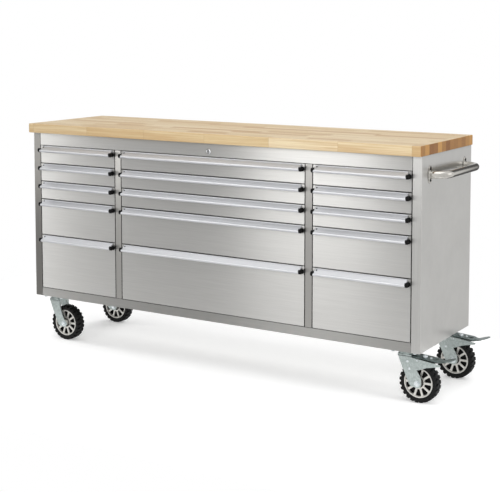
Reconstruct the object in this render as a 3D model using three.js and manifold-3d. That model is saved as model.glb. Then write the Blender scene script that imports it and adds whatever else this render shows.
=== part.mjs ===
import * as THREE from 'three';
import { mergeVertices } from 'three/addons/utils/BufferGeometryUtils.js';
import Module from 'manifold-3d';

// A rolling tool chest: a folded stainless-steel carcass with three columns of drawers, a
// butcher-block worktop, a push handle on its right end and four swivel casters, the right-hand
// pair with foot brakes. Millimetres, +Z up, the drawers open towards -Y.

// Fits between pieces
const gap = 0.3; // between pieces that touch
const runnerPlay = 0.5; // round a drawer's runner inside its channel
const drawerGap = 2.6; // round each drawer front

// Carcass
const cabinetDepth = 480;
const carcassSheet = 1.5;
const floorSheet = 2;
const postWidth = 36; // face of the folded side panel beside the drawers
const dividerWidth = 30;
const sideColumnWidth = 406;
const centreColumnWidth = 872;
const headerHeight = 54;
const headerTopReturn = 40;
const headerBottomReturn = 20;
const sillHeight = 36.5;
const sillReturn = 12;
const rearFlange = 20; // folded edges round the back panel

// Drawers, from the top row down: each row is a whole number of pitches high
const rowPitch = 78.2;
const rowUnits = [1, 1, 1, 2, 3];
const drawerSheet = 1.2;
const frontDepth = 14; // double-skinned drawer front
const trayRearSpace = 20; // behind the tray, inside the carcass
const trayDrop = 20; // tray wall below the top of the front
const trayLift = 6; // tray floor above the bottom of the front

// Runners
const runnerSpace = 12.7; // from the carcass wall to the tray
const runnerSheet = 1.5;
const runnerHeight = 35;
const runnerProjection = 10.5;
const runnerFrontSpace = 2; // behind the drawer front
const runnerRearSpace = 16;
const runnerRise = 38; // runner's centreline above the bottom of the front
const trayRunnerSetback = 40; // runner's end ahead of the tray's

// Drawer handle: an extruded rail with a rounded grip, closed by end caps
const handleInset = 3; // from each end of the drawer front
const railHeight = 28;
const railFoot = 2.5; // thickness of the strip on the drawer front
const railLedge = 4; // height of the strip above the sloping top
const railSkin = 1.8;
const gripRadius = 7.8;
const gripReach = 19; // grip's centre out from the drawer front
const gripDrop = 19.5; // grip's centre below the top of the front
const gripEndAngle = -140;
const capLength = 8;
const capLobeDepth = 6.4; // half the depth of each of its two lobes
const capLobeHeight = 9; // half their height
const capNeck = 4.7; // half the height between them
const capFront = 20.2; // front lobe's centre out from the drawer front

// Worktop
const worktopThickness = 39;
const worktopOverhangEnd = 6.5;
const worktopOverhangFront = 28;
const worktopEdge = 2; // rounding of its edges
const worktopCorner = 5;

// Lock in the header
const lockDrop = 34; // below the top of the carcass
const bezelRadius = 11.5;
const bezelHeight = 3;
const barrelRadius = 9;
const barrelLength = 20;
const lockNutRadius = 13;
const lockNutHeight = 4;
const plugRadius = 6.4;
const keywayWidth = 1.8;
const keywayHeight = 8;
const keywayDepth = 12;
const camLength = 24;
const camWidth = 12;
const camThickness = 2;

// Push handle on the right end
const pushTubeRadius = 14;
const pushStandoff = 60;
const pushBend = 50;
const pushSpacing = 340;
const pushDrop = 72; // below the top of the carcass
const flangeWidth = 36;
const flangeHeight = 64;
const flangeThickness = 3;

// Casters
const wheelRadius = 75;
const tyreWidth = 45;
const rimRadius = 56;
const rimWidth = 38;
const rimSection = 6;
const hubRadius = 26;
const hubBoss = 14;
const spokeWidth = 11.5;
const spokeDepth = 16;
const spokeCount = 10;
const webThickness = 6; // of the disc that closes the wheel between its spokes
const axleRadius = 6;
const axleHeadRadius = 9;
const axleHeadHeight = 6;
const lugCount = 24;
const lugDepth = 5;
const lugGroove = 7.5;
const tyreShoulder = 4;
const treadCentre = 9; // half the width of the tread's unbroken middle band
const casterTrail = 50; // kingpin to axle
const casterInsetEnd = 75; // kingpin in from the end of the carcass
const casterInsetFace = 64; // kingpin in from the front and the back
const plateLength = 115;
const plateWidth = 100;
const plateThickness = 4;
const plateCorner = 10;
const raceRadius = 34;
const raceHeight = 11;
const kingpinRadius = 8;
const kingpinHeadRadius = 13;
const kingpinHeadHeight = 7;
const forkSheet = 3.5;
const forkInside = 55; // between the legs
const forkHead = 27; // half the length of the fork's head
const forkFoot = 17; // radius of the leg round the axle
const tyreClearance = 25.9; // from the tread to the fork's head

// Edges of a fork's leg, as [distance from the kingpin, depth below the fork's head]
const legBack = [[-18.5, 24], [-7, 51], [2, 68], [11, 89], [19, 106], [27, 114.5]];
const plainLegFront = [[52, 84], [42, 64], [29, 24]];
const brakedLegFront = [[65, 78], [49, 52], [29, 24]];
const footStart = 240; // angles between which the foot is round
const footEnd = 372;
const legFlange = 13; // width of the flange folded inwards under the head
const legFlangeHeight = 14; // height over which it keeps that width
const legFlangeTaper = 12; // height over which it narrows above the tyre
const legFlangeBeside = 3.5; // its width beside the tyre

// Foot brake
const pedalSheet = 2.5;
const pedalHeadSpace = 1.5; // below the fork's head
const pedalSlope = 4.5; // degrees down, away from the kingpin
const toeSlope = 16; // degrees up again at the toe
const pedalStart = 16;
const pedalBend = 139;
const pedalEnd = 186;
const pedalTaper = 16; // length over which the plate narrows to its neck
const pedalNeck = 34;
const pedalNeckLength = 8;
const pedalToe = 48;
const toeCorner = 13;
const pedalSlot = 29; // slot's middle before the bend
const pedalSlotLength = 17;
const pedalSlotWidth = 6;
const pedalPivotReach = 13; // from the kingpin
const pedalPivotDrop = 21.5; // below the fork's head
const pedalPinRadius = 4;
const pedalPinHead = 5.5;
const pedalPinHeadHeight = 2;
const pedalLug = 7;
const pedalLugEnd = 36;

// Guard plate over each leg of a braked fork, as [distance from the kingpin, depth below the head]
const guardSheet = 2.5;
const guardOutline = [
  [-7, 44], [-3, 26.5], [25, 5.5], [140, 19.5], [141.5, 25], [88, 37], [61, 48], [46, 52], [28, 60], [4, 63],
];

// Derived sizes of the whole
const stackHeight = rowPitch * rowUnits.reduce((sum, units) => sum + units, 0);
const cabinetHeight = headerHeight + stackHeight + sillHeight;
const cabinetWidth = 2 * (postWidth + sideColumnWidth + dividerWidth) + centreColumnWidth;
const casterHeight = 2 * wheelRadius + tyreClearance + forkSheet + raceHeight + plateThickness + 2 * gap;
const baseZ = casterHeight;
const topZ = baseZ + cabinetHeight;
const sillZ = baseZ + sillHeight;
const headerZ = topZ - headerHeight;
const endX = cabinetWidth / 2;
const openingEndX = endX - postWidth;
const frontY = -cabinetDepth / 2;
const backY = cabinetDepth / 2;
const backPanelY = backY - carcassSheet - gap; // outer face of the back panel
const floorFlangeY = backPanelY - carcassSheet - gap;
const lockZ = topZ - lockDrop;
const wallEndY = floorFlangeY - carcassSheet - gap; // rear edge of the dividers
const runnerStart = frontY + frontDepth + runnerFrontSpace;
const runnerEnd = wallEndY - runnerRearSpace;
const trayLength = wallEndY - trayRearSpace - frontY - frontDepth;

// Derived sizes of a caster, with its kingpin on the Z axis and the floor at Z = 0
const plateTop = casterHeight - gap;
const raceBottom = plateTop - plateThickness - raceHeight;
const headTop = raceBottom - gap;
const headBottom = headTop - forkSheet;
const forkOutside = forkInside + 2 * forkSheet;
const pivotZ = headBottom - pedalPivotDrop;

const ROUND_STEPS = 12;

const wasm = await Module();
wasm.setup();

// ---- geometry helpers -------------------------------------------------------------------------

function toSolid(geometry) {
  const bare = geometry.clone();
  bare.deleteAttribute('normal');
  bare.deleteAttribute('uv');
  const merged = mergeVertices(bare);
  const vertProperties = merged.attributes.position.array;
  const triVerts = merged.index.array;
  return new wasm.Manifold(new wasm.Mesh({ numProp: 3, vertProperties, triVerts }));
}

function toGeometry(solid) {
  const mesh = solid.getMesh();
  const geometry = new THREE.BufferGeometry();
  geometry.setAttribute('position', new THREE.BufferAttribute(mesh.vertProperties, 3));
  geometry.setIndex(new THREE.BufferAttribute(mesh.triVerts, 1));
  geometry.computeVertexNormals();
  return geometry;
}

function join(...pieces) {
  return toGeometry(pieces.map(toSolid).reduce((whole, piece) => whole.add(piece)));
}

function cut(body, ...tools) {
  return toGeometry(tools.map(toSolid).reduce((whole, tool) => whole.subtract(tool), toSolid(body)));
}

function overlap(body, limits) {
  return toGeometry(toSolid(body).intersect(toSolid(limits)));
}

function block(x0, x1, y0, y1, z0, z1) {
  const box = new THREE.BoxGeometry(x1 - x0, y1 - y0, z1 - z0);
  return box.translate((x0 + x1) / 2, (y0 + y1) / 2, (z0 + z1) / 2);
}

function extrude(shape, depth) {
  return new THREE.ExtrudeGeometry(shape, { depth, bevelEnabled: false });
}

// A profile drawn in (Y, Z), pushed along X.
function alongX(shape, x0, x1) {
  return extrude(shape, x1 - x0).rotateX(Math.PI / 2).rotateZ(Math.PI / 2).translate(x0, 0, 0);
}

// A profile drawn in (X, Z), pushed along Y.
function alongY(shape, y0, y1) {
  return extrude(shape, y1 - y0).rotateX(Math.PI / 2).translate(0, y1, 0);
}

// A profile drawn in (X, Y), pushed along Z.
function alongZ(shape, z0, z1) {
  return extrude(shape, z1 - z0).translate(0, 0, z0);
}

// A round bar along Y.
function barY(radius, y0, y1, steps = ROUND_STEPS) {
  return new THREE.CylinderGeometry(radius, radius, y1 - y0, steps).translate(0, (y0 + y1) / 2, 0);
}

function radians(degrees) {
  return (degrees * Math.PI) / 180;
}

function point(x, y) {
  return new THREE.Vector2(x, y);
}

function arc(centre, radius, from, to, steps) {
  return Array.from({ length: steps + 1 }, (_, i) => {
    const angle = radians(from + ((to - from) * i) / steps);
    return point(centre.x + radius * Math.cos(angle), centre.y + radius * Math.sin(angle));
  });
}

// Outline of an even sheet bent along a line of points; it lies to the left of the line, or to
// the right where the thickness is negative.
function bentSheet(line, thickness) {
  const normal = (a, b) => {
    const along = b.clone().sub(a).normalize();
    return point(-along.y, along.x);
  };
  const inner = line.map((here, i) => {
    const before = normal(line[Math.max(i - 1, 0)], line[Math.max(i, 1)]);
    const after = normal(line[Math.min(i, line.length - 2)], line[Math.min(i + 1, line.length - 1)]);
    const offset = before.clone().add(after).multiplyScalar(thickness / (1 + before.dot(after)));
    return here.clone().add(offset);
  });
  return new THREE.Shape([...line, ...inner.reverse()]);
}

function roundedRectangle(length, width, radius) {
  const x = length / 2 - radius;
  const y = width / 2 - radius;
  return new THREE.Shape([
    ...arc(point(x, y), radius, 0, 90, 2),
    ...arc(point(-x, y), radius, 90, 180, 2),
    ...arc(point(-x, -y), radius, 180, 270, 2),
    ...arc(point(x, -y), radius, 270, 360, 2),
  ]);
}

// A profile of (radius, height) points turned about the Y axis. It closes on itself.
function revolve(profile, steps = ROUND_STEPS, start = 0) {
  return new THREE.LatheGeometry([...profile, profile[0]], steps, start);
}

// ---- materials --------------------------------------------------------------------------------

function material(color, roughness, metalness) {
  return new THREE.MeshStandardMaterial({ color, roughness, metalness });
}

const brushedSteel = () => material('#c9c8c4', 0.32, 1);
const butcherBlock = () => material('#d6c39a', 0.55, 0);
const anodisedAluminium = () => material('#d4d6d8', 0.35, 1);
const polishedSteel = () => material('#d8d9da', 0.15, 1);
const zincPlate = () => material('#b4bcc0', 0.4, 1);
const darkZinc = () => material('#4c5254', 0.45, 1);
const tyreRubber = () => material('#161616', 0.8, 0);
const silverPaint = () => material('#cfcfcb', 0.35, 0.6);
const chromeLock = () => material('#c4c5c6', 0.2, 1);

function named(name, geometry, finish) {
  const mesh = new THREE.Mesh(geometry, finish);
  mesh.name = name;
  return mesh;
}

// ---- carcass ----------------------------------------------------------------------------------

// The channel that carries a drawer: its web is on a carcass wall at x and it opens towards the
// drawer, along `inward` (+1 or -1). The web runs into the wall to be one with it.
function runnerChannel(x, inward, z) {
  const lip = x + inward * runnerProjection;
  const web = x - inward * (carcassSheet / 2);
  const low = z - runnerHeight / 2;
  const high = z + runnerHeight / 2;
  const inside = x + inward * runnerSheet;
  const shape = new THREE.Shape([
    point(lip, low),
    point(web, low),
    point(web, high),
    point(lip, high),
    point(lip, high - runnerSheet),
    point(inside, high - runnerSheet),
    point(inside, low + runnerSheet),
    point(lip, low + runnerSheet),
  ]);
  return alongY(shape, runnerStart, runnerEnd);
}

// Rows from the top down, each with the height of its opening and its bottom edge.
function rows() {
  let z = headerZ;
  return rowUnits.map((units) => {
    z -= units * rowPitch;
    return { bottom: z, height: units * rowPitch };
  });
}

function runnerHeights() {
  return rows().map((row) => row.bottom + drawerGap / 2 + runnerRise);
}

// Side of the carcass, folded in plan: inner wall, front post, outer wall and rear flange.
function sidePanel(side) {
  const innerWall = side * openingEndX;
  const outerWall = side * endX;
  const line = [
    point(innerWall, backPanelY - carcassSheet - gap),
    point(innerWall, frontY),
    point(outerWall, frontY),
    point(outerWall, backY),
    point(outerWall - side * rearFlange, backY),
  ];
  const walls = alongZ(bentSheet(line, side * carcassSheet), baseZ, topZ);
  const inset = side * (endX - carcassSheet);
  const floorTop = baseZ + floorSheet + gap;
  const floorSpace = block(
    Math.min(inset, innerWall - side), Math.max(inset, innerWall - side),
    frontY + carcassSheet, backY - carcassSheet, baseZ - 1, floorTop,
  );
  const channels = runnerHeights().map((z) => runnerChannel(innerWall, -side, z));
  return join(cut(walls, floorSpace), ...channels);
}

// Upright between two columns: a U in plan, notched round the sill and the header.
function divider(centre) {
  const left = centre - dividerWidth / 2;
  const right = centre + dividerWidth / 2;
  const line = [
    point(left, wallEndY), point(left, frontY), point(right, frontY), point(right, wallEndY),
  ];
  const bottom = baseZ + floorSheet + gap;
  const top = topZ - carcassSheet - gap;
  const walls = alongZ(bentSheet(line, carcassSheet), bottom, top);
  const sillEnd = frontY + sillReturn + gap;
  const headerEnd = frontY + headerBottomReturn + gap;
  const sillNotch = block(left - 1, right + 1, frontY - 1, sillEnd, bottom - 1, sillZ + gap);
  const headerNotch = block(left - 1, right + 1, frontY - 1, headerEnd, headerZ - gap, top + 1);
  const channels = runnerHeights().flatMap((z) => [runnerChannel(left, -1, z), runnerChannel(right, 1, z)]);
  return join(cut(walls, sillNotch, headerNotch), ...channels);
}

function headerRail() {
  const line = [
    point(frontY + headerBottomReturn, headerZ),
    point(frontY, headerZ),
    point(frontY, topZ),
    point(frontY + headerTopReturn, topZ),
  ];
  const rail = alongX(bentSheet(line, -carcassSheet), -openingEndX + gap, openingEndX - gap);
  const hole = barY(barrelRadius + gap, frontY - 1, frontY + carcassSheet + 1);
  return cut(rail, hole.translate(0, 0, lockZ));
}

// Floor of the carcass, with the sill folded up in front and a flange behind.
function basePan() {
  const line = [
    point(frontY + sillReturn, sillZ),
    point(frontY, sillZ),
    point(frontY, baseZ),
    point(floorFlangeY, baseZ),
    point(floorFlangeY, baseZ + rearFlange),
  ];
  const pan = alongX(bentSheet(line, carcassSheet), -openingEndX + gap, openingEndX - gap);
  const inset = carcassSheet + gap;
  const reach = endX - inset;
  const floor = block(-reach, reach, frontY + inset, backY - inset, baseZ, baseZ + floorSheet);
  return join(pan, floor);
}

function backPanel() {
  const bottom = baseZ + floorSheet + gap;
  const line = [point(backPanelY, bottom), point(backPanelY, topZ), point(backPanelY - rearFlange, topZ)];
  const folded = alongX(bentSheet(line, carcassSheet), -openingEndX + gap, openingEndX - gap);
  const reach = endX - carcassSheet - gap;
  return join(folded, block(-reach, reach, backPanelY - carcassSheet, backPanelY, bottom, topZ));
}

function worktop() {
  const length = cabinetWidth + 2 * worktopOverhangEnd;
  const width = cabinetDepth + worktopOverhangFront;
  const outline = roundedRectangle(length, width, worktopCorner);
  const top = new THREE.ExtrudeGeometry(outline, {
    depth: worktopThickness - 2 * worktopEdge,
    bevelThickness: worktopEdge,
    bevelSize: worktopEdge,
    bevelOffset: -worktopEdge,
    bevelSegments: 1,
  });
  return top.translate(0, -worktopOverhangFront / 2, topZ + gap + worktopEdge);
}

// ---- lock -------------------------------------------------------------------------------------

// Barrel with its bezel in front of the header and its nut behind; the axis is Y, and Y = 0 is
// the header's face.
function lockHousing() {
  const bore = plugRadius + gap;
  const nutFace = carcassSheet + gap;
  return revolve([
    point(bore, -bezelHeight),
    point(bezelRadius - 1, -bezelHeight),
    point(bezelRadius, -bezelHeight + 1),
    point(bezelRadius, -gap),
    point(barrelRadius, -gap),
    point(barrelRadius, nutFace),
    point(lockNutRadius, nutFace),
    point(lockNutRadius, nutFace + lockNutHeight),
    point(barrelRadius, nutFace + lockNutHeight),
    point(barrelRadius, barrelLength),
    point(bore, barrelLength),
  ]);
}

// Plug with its keyway, and the cam on its end, pointing along X when the drawers are free.
function lockPlug() {
  const camStart = barrelLength + gap;
  const face = -bezelHeight + 0.5;
  const plug = barY(plugRadius, face, camStart + camThickness + 1);
  const keyway = block(
    -keywayWidth / 2, keywayWidth / 2, face - 1, face + keywayDepth, -keywayHeight / 2, keywayHeight / 2,
  );
  const cam = new THREE.Shape([
    ...arc(point(0, 0), camWidth / 2, 90, 270, 6),
    ...arc(point(camLength - camWidth / 2, 0), camWidth / 2, -90, 90, 6),
  ]);
  return join(cut(plug, keyway), alongY(cam, camStart, camStart + camThickness));
}

// ---- drawers ----------------------------------------------------------------------------------

// A drawer: double-skinned front, tray and runners. X = 0 is its middle, Y = 0 the face of its
// front and Z = 0 the bottom of its front.
function drawer(openingWidth, rowHeight) {
  const width = openingWidth - 2 * drawerGap;
  const height = rowHeight - drawerGap;
  const sheet = drawerSheet;
  const half = width / 2;
  const front = cut(
    block(-half, half, 0, frontDepth, 0, height),
    block(-half + sheet, half - sheet, sheet, frontDepth - sheet, -1, height - sheet),
  );
  const side = openingWidth / 2 - runnerSpace;
  const top = height - trayDrop;
  const rear = frontDepth + trayLength;
  const tray = cut(
    block(-side, side, frontDepth - sheet, rear, trayLift, top),
    block(-side + sheet, side - sheet, frontDepth, rear - sheet, trayLift + sheet, top + 1),
  );
  return join(front, tray, trayRunner(side, 1), trayRunner(side, -1));
}

// The runner on a tray's side wall, which slides in the carcass channel.
function trayRunner(wall, side) {
  const reach = runnerSpace - runnerSheet - runnerPlay;
  const half = runnerHeight / 2 - runnerSheet - runnerPlay;
  const root = side * (wall - drawerSheet / 2);
  const tip = side * (wall + reach);
  const line = [
    point(root, runnerRise - half),
    point(tip, runnerRise - half),
    point(tip, runnerRise + half),
    point(root, runnerRise + half),
  ];
  return alongY(bentSheet(line, side * runnerSheet), frontDepth, frontDepth + trayLength - trayRunnerSetback);
}

// Section of the handle rail, as (distance out from the drawer front, height): a strip on the
// front, a sloping top that leaves it under a small ledge, and a hooked grip.
function railSection() {
  const grip = point(gripReach, -gripDrop);
  const foot = point(gap + railFoot, -railLedge);
  const toGrip = grip.clone().sub(foot);
  const tangent = toGrip.angle() - 2 * Math.PI + Math.asin(gripRadius / toGrip.length());
  const top = 90 + (tangent * 180) / Math.PI;
  const innerTop = point(
    grip.x + (gripRadius - railSkin) * Math.cos(radians(top)),
    grip.y + (gripRadius - railSkin) * Math.sin(radians(top)),
  );
  const underside = innerTop.y + (innerTop.x - foot.x) * Math.tan(-tangent);
  return [
    point(gap, -railHeight),
    point(gap, 0),
    point(foot.x, 0),
    foot,
    ...arc(grip, gripRadius, top, gripEndAngle, 5),
    ...arc(grip, gripRadius - railSkin, gripEndAngle, top, 2),
    point(foot.x, underside),
    point(foot.x, -railHeight),
  ];
}

// Outline of an end cap: two upright ovals with a neck between them.
function capSection() {
  const notch = (Math.asin(capNeck / capLobeHeight) * 180) / Math.PI;
  const lobe = (centre, from, to) => arc(point(0, 0), 1, from, to, 4).map((p) => point(
    centre + capLobeDepth * p.x, capLobeHeight * p.y - gripDrop,
  ));
  return [
    ...lobe(capFront, 180 - notch, notch - 180),
    ...lobe(gap + capLobeDepth, -notch, notch - 360),
  ];
}

// A handle on the top edge of a drawer front: Y = 0 is the front's face, Z = 0 its top.
function drawerHandle(openingWidth) {
  const half = openingWidth / 2 - drawerGap - handleInset;
  const outward = (section) => new THREE.Shape(section.map((p) => point(-p.x, p.y)));
  const rail = alongX(outward(railSection()), -half + capLength - 1, half - capLength + 1);
  const cap = outward(capSection());
  return join(rail, alongX(cap, -half, -half + capLength), alongX(cap, half - capLength, half));
}

// ---- push handle ------------------------------------------------------------------------------

// Bent tube with a welded oval flange at each end. X = 0 is the face of the side panel.
function pushHandle() {
  const tip = pushSpacing / 2;
  const straight = pushStandoff - pushBend;
  const round = 0.5523 * pushBend; // handle length that makes a cubic curve a quarter circle
  const at = (x, y) => new THREE.Vector3(x, y, 0);
  const route = new THREE.CurvePath();
  route.add(new THREE.LineCurve3(at(gap, -tip), at(straight, -tip)));
  route.add(new THREE.CubicBezierCurve3(
    at(straight, -tip), at(straight + round, -tip),
    at(pushStandoff, -tip + pushBend - round), at(pushStandoff, -tip + pushBend),
  ));
  route.add(new THREE.LineCurve3(at(pushStandoff, -tip + pushBend), at(pushStandoff, tip - pushBend)));
  route.add(new THREE.CubicBezierCurve3(
    at(pushStandoff, tip - pushBend), at(pushStandoff, tip - pushBend + round),
    at(straight + round, tip), at(straight, tip),
  ));
  route.add(new THREE.LineCurve3(at(straight, tip), at(gap, tip)));
  const ring = new THREE.Shape(arc(point(0, 0), pushTubeRadius, 0, 315, 7));
  const tube = new THREE.ExtrudeGeometry(ring, { extrudePath: route, steps: 24 });
  const oval = new THREE.Shape(arc(point(0, 0), 1, 0, 330, 11).map((p) => point(
    (p.x * flangeWidth) / 2, (p.y * flangeHeight) / 2,
  )));
  const flange = (y) => alongX(oval, gap, gap + flangeThickness).translate(0, y, 0);
  return join(tube, flange(-tip), flange(tip));
}

// ---- casters ----------------------------------------------------------------------------------

// Top plate with the upper race, the kingpin and its head below the fork.
function casterPlate() {
  const outline = roundedRectangle(plateLength, plateWidth, plateCorner);
  const plate = alongZ(outline, plateTop - plateThickness, plateTop);
  const headFace = headBottom - gap;
  const race = revolve([
    point(0, headFace - kingpinHeadHeight),
    point(kingpinHeadRadius - 2, headFace - kingpinHeadHeight),
    point(kingpinHeadRadius, headFace - kingpinHeadHeight + 2),
    point(kingpinHeadRadius, headFace),
    point(kingpinRadius, headFace),
    point(kingpinRadius, raceBottom),
    point(raceRadius, raceBottom),
    point(raceRadius + 3, plateTop - plateThickness / 2),
    point(0, plateTop - plateThickness / 2),
  ]);
  return join(plate, race.rotateX(Math.PI / 2));
}

// Height of the pedal's top face at a distance from the kingpin.
function pedalTop(x) {
  const start = headBottom - pedalHeadSpace;
  return start - (x - pedalStart) * Math.tan(radians(pedalSlope));
}

// A point (X, Z) of a fork from its distance to the kingpin and its depth below the head.
function belowHead([x, depth]) {
  return point(x, headBottom - depth);
}

// Leg of a fork, as (X, Z): raked from the head to the axle.
function legOutline(frontEdge) {
  return new THREE.Shape([
    point(forkHead, headTop),
    point(-forkHead, headTop),
    ...legBack.map(belowHead),
    ...arc(point(casterTrail, wheelRadius), forkFoot, footStart, footEnd, 5),
    ...frontEdge.map(belowHead),
  ]);
}

// Flange folded inwards along the front edge of a leg; it narrows to pass beside the tyre.
function foldedFlange(side) {
  const edge = [...plainLegFront.slice(1).map(belowHead), point(forkHead, headBottom + 1)];
  const root = forkInside / 2 + 1;
  const reach = (width) => side * (forkInside / 2 - width);
  const sides = [reach(legFlange), side * root];
  const band = alongY(bentSheet(edge, forkSheet), Math.min(...sides), Math.max(...sides));
  const limits = new THREE.Shape([
    point(side * root, edge[0].y),
    point(side * root, headBottom + 1),
    point(reach(legFlange), headBottom + 1),
    point(reach(legFlange), headBottom - legFlangeHeight),
    point(reach(legFlangeBeside), headBottom - legFlangeHeight - legFlangeTaper),
  ]);
  return overlap(band, alongX(limits, 0, casterTrail));
}

// Fork with its head, two legs and the axle bolt; a braked fork has its guard plates and the
// pedal's pin as well.
function fork(braked) {
  const leg = legOutline(braked ? brakedLegFront : plainLegFront);
  const inside = forkInside / 2;
  const outside = forkOutside / 2;
  const head = block(-forkHead, forkHead, -outside, outside, headBottom, headTop);
  const disc = new THREE.CylinderGeometry(raceRadius, raceRadius, forkSheet, ROUND_STEPS)
    .rotateX(Math.PI / 2)
    .translate(0, 0, (headBottom + headTop) / 2);
  const axle = join(
    barY(axleRadius, -outside - 1, outside + 1, 12),
    barY(axleHeadRadius, outside, outside + axleHeadHeight, 6),
    barY(axleHeadRadius, -outside - axleHeadHeight, -outside, 6),
  ).translate(casterTrail, 0, wheelRadius);
  const pieces = [disc, alongY(leg, inside, outside), alongY(leg, -outside, -inside), axle];
  if (braked) {
    const guard = new THREE.Shape(guardOutline.map(belowHead));
    const face = outside + guardSheet;
    const pin = join(
      barY(pedalPinRadius, -face, face, 12),
      barY(pedalPinHead, face - 1, face + pedalPinHeadHeight, 8),
      barY(pedalPinHead, -face - pedalPinHeadHeight, -face + 1, 8),
    );
    pieces.push(alongY(guard, outside, face), alongY(guard, -face, -outside));
    pieces.push(pin.translate(pedalPivotReach, 0, pivotZ));
  } else {
    pieces.push(foldedFlange(1), foldedFlange(-1));
  }
  const boreRadius = kingpinRadius + gap;
  const bore = new THREE.CylinderGeometry(boreRadius, boreRadius, 4 * forkSheet, ROUND_STEPS)
    .rotateX(Math.PI / 2)
    .translate(0, 0, headBottom);
  return cut(join(head, ...pieces), bore);
}

// Wheel centre about the Y axis: a hub and a rim, joined by a thin web with a rib for each spoke.
function rim() {
  const bore = axleRadius + gap;
  const boss = forkInside / 2 - gap;
  const spokeFace = spokeDepth / 2;
  const web = webThickness / 2;
  const ring = rimRadius - rimSection;
  const rimHalf = rimWidth / 2;
  const half = (sign) => [
    point(bore, sign * boss),
    point(hubBoss, sign * boss),
    point(hubRadius - 1, sign * spokeFace),
    point(hubRadius, sign * web),
    point(ring, sign * web),
    point(ring, sign * rimHalf),
    point(rimRadius, sign * rimHalf),
  ];
  const disc = revolve([...half(-1), ...half(1).reverse()], 2 * spokeCount);
  const spokes = Array.from({ length: spokeCount }, (_, i) => {
    const side = spokeWidth / 2;
    const spoke = block(hubRadius - 3, ring + 1, -spokeFace + 1, spokeFace - 1, -side, side);
    return spoke.rotateY((i * 2 * Math.PI) / spokeCount);
  });
  return join(disc, ...spokes);
}

// Tyre with a plain middle band and blocks on both shoulders, one side half a pitch behind the other.
function tyre() {
  const toFlat = 1 / Math.cos(Math.PI / lugCount);
  const tread = wheelRadius * toFlat;
  const bead = (rimRadius + gap) * toFlat;
  const wall = tyreWidth / 2;
  const half = (sign) => [
    point(bead, sign * (rimWidth / 2 - 1)),
    point(tread - lugDepth - 1, sign * wall),
    point(tread, sign * (wall - tyreShoulder)),
  ];
  const body = revolve([...half(-1), ...half(1).reverse()], lugCount, Math.PI / lugCount);
  const grooves = [];
  for (let i = 0; i < lugCount; i += 1) {
    for (const sign of [1, -1]) {
      const outside = sign * (wall + 1);
      const groove = block(
        -lugGroove / 2, lugGroove / 2,
        Math.min(sign * treadCentre, outside), Math.max(sign * treadCentre, outside),
        tread - lugDepth, tread + 1,
      );
      const turn = (i + (sign > 0 ? 0.5 : 0)) / lugCount;
      grooves.push(groove.rotateY(2 * Math.PI * turn));
    }
  }
  return cut(body, ...grooves);
}

// Foot pedal: a bent plate with a necked toe, hung on the fork's pin by two lugs.
function pedal() {
  const toe = pedalTop(pedalBend) + (pedalEnd - pedalBend) * Math.tan(radians(toeSlope));
  const line = [
    point(pedalStart, pedalTop(pedalStart)),
    point(pedalBend, pedalTop(pedalBend)),
    point(pedalEnd, toe),
  ];
  const inside = forkInside / 2;
  const width = inside - 2 * gap;
  const plate = alongY(bentSheet(line, -pedalSheet), -width, width);
  const neck = pedalBend - pedalNeckLength;
  const cornerX = pedalEnd - toeCorner;
  const cornerY = pedalToe / 2 - toeCorner;
  const plan = new THREE.Shape([
    point(pedalStart - 1, -width),
    point(neck - pedalTaper, -width),
    point(neck, -pedalNeck / 2),
    point(pedalBend, -pedalNeck / 2),
    ...arc(point(cornerX, -cornerY), toeCorner, -110, 0, 4),
    ...arc(point(cornerX, cornerY), toeCorner, 0, 110, 4),
    point(pedalBend, pedalNeck / 2),
    point(neck, pedalNeck / 2),
    point(neck - pedalTaper, width),
    point(pedalStart - 1, width),
  ]);
  const trimmed = overlap(plate, alongZ(plan, 0, casterHeight));
  const intoPlate = pedalSheet / 2;
  const lug = new THREE.Shape([
    point(pedalStart, pedalTop(pedalStart) - intoPlate),
    ...arc(point(pedalPivotReach, pivotZ), pedalLug, 180, 360, 6),
    point(pedalLugEnd, pedalTop(pedalLugEnd) - intoPlate),
  ]);
  const lugs = [alongY(lug, width - pedalSheet, width), alongY(lug, -width, -width + pedalSheet)];
  const hole = barY(pedalPinRadius + gap, -inside, inside, 12).translate(pedalPivotReach, 0, pivotZ);
  const slot = roundedRectangle(pedalSlotLength, pedalSlotWidth, pedalSlotWidth / 2 - gap);
  const slotTool = alongZ(slot, 0, casterHeight).translate(pedalBend - pedalSlot, 0, 0);
  return cut(join(trimmed, ...lugs), hole, slotTool);
}

function caster(name, braked) {
  const group = new THREE.Group();
  const wheel = new THREE.Group();
  wheel.position.set(casterTrail, 0, wheelRadius);
  wheel.add(named(`rim_${name}`, rim(), silverPaint()));
  wheel.add(named(`tyre_${name}`, tyre(), tyreRubber()));
  group.add(named(`caster_plate_${name}`, casterPlate(), zincPlate()));
  group.add(named(`fork_${name}`, fork(braked), zincPlate()));
  group.add(wheel);
  if (braked) {
    group.add(named(`brake_pedal_${name}`, pedal(), darkZinc()));
  }
  return group;
}

// ---- assembly ---------------------------------------------------------------------------------

const chest = new THREE.Group();

function addCarcass() {
  chest.add(named('left_side_panel', sidePanel(-1), brushedSteel()));
  chest.add(named('right_side_panel', sidePanel(1), brushedSteel()));
  chest.add(named('header_rail', headerRail(), brushedSteel()));
  chest.add(named('base_pan', basePan(), brushedSteel()));
  chest.add(named('back_panel', backPanel(), brushedSteel()));
  const centre = (centreColumnWidth + dividerWidth) / 2;
  chest.add(named('left_divider', divider(-centre), brushedSteel()));
  chest.add(named('right_divider', divider(centre), brushedSteel()));
  chest.add(named('worktop', worktop(), butcherBlock()));
}

function addLock() {
  for (const mesh of [
    named('lock_housing', lockHousing(), chromeLock()),
    named('lock_plug', lockPlug(), chromeLock()),
  ]) {
    mesh.position.set(0, frontY, lockZ);
    chest.add(mesh);
  }
}

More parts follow.
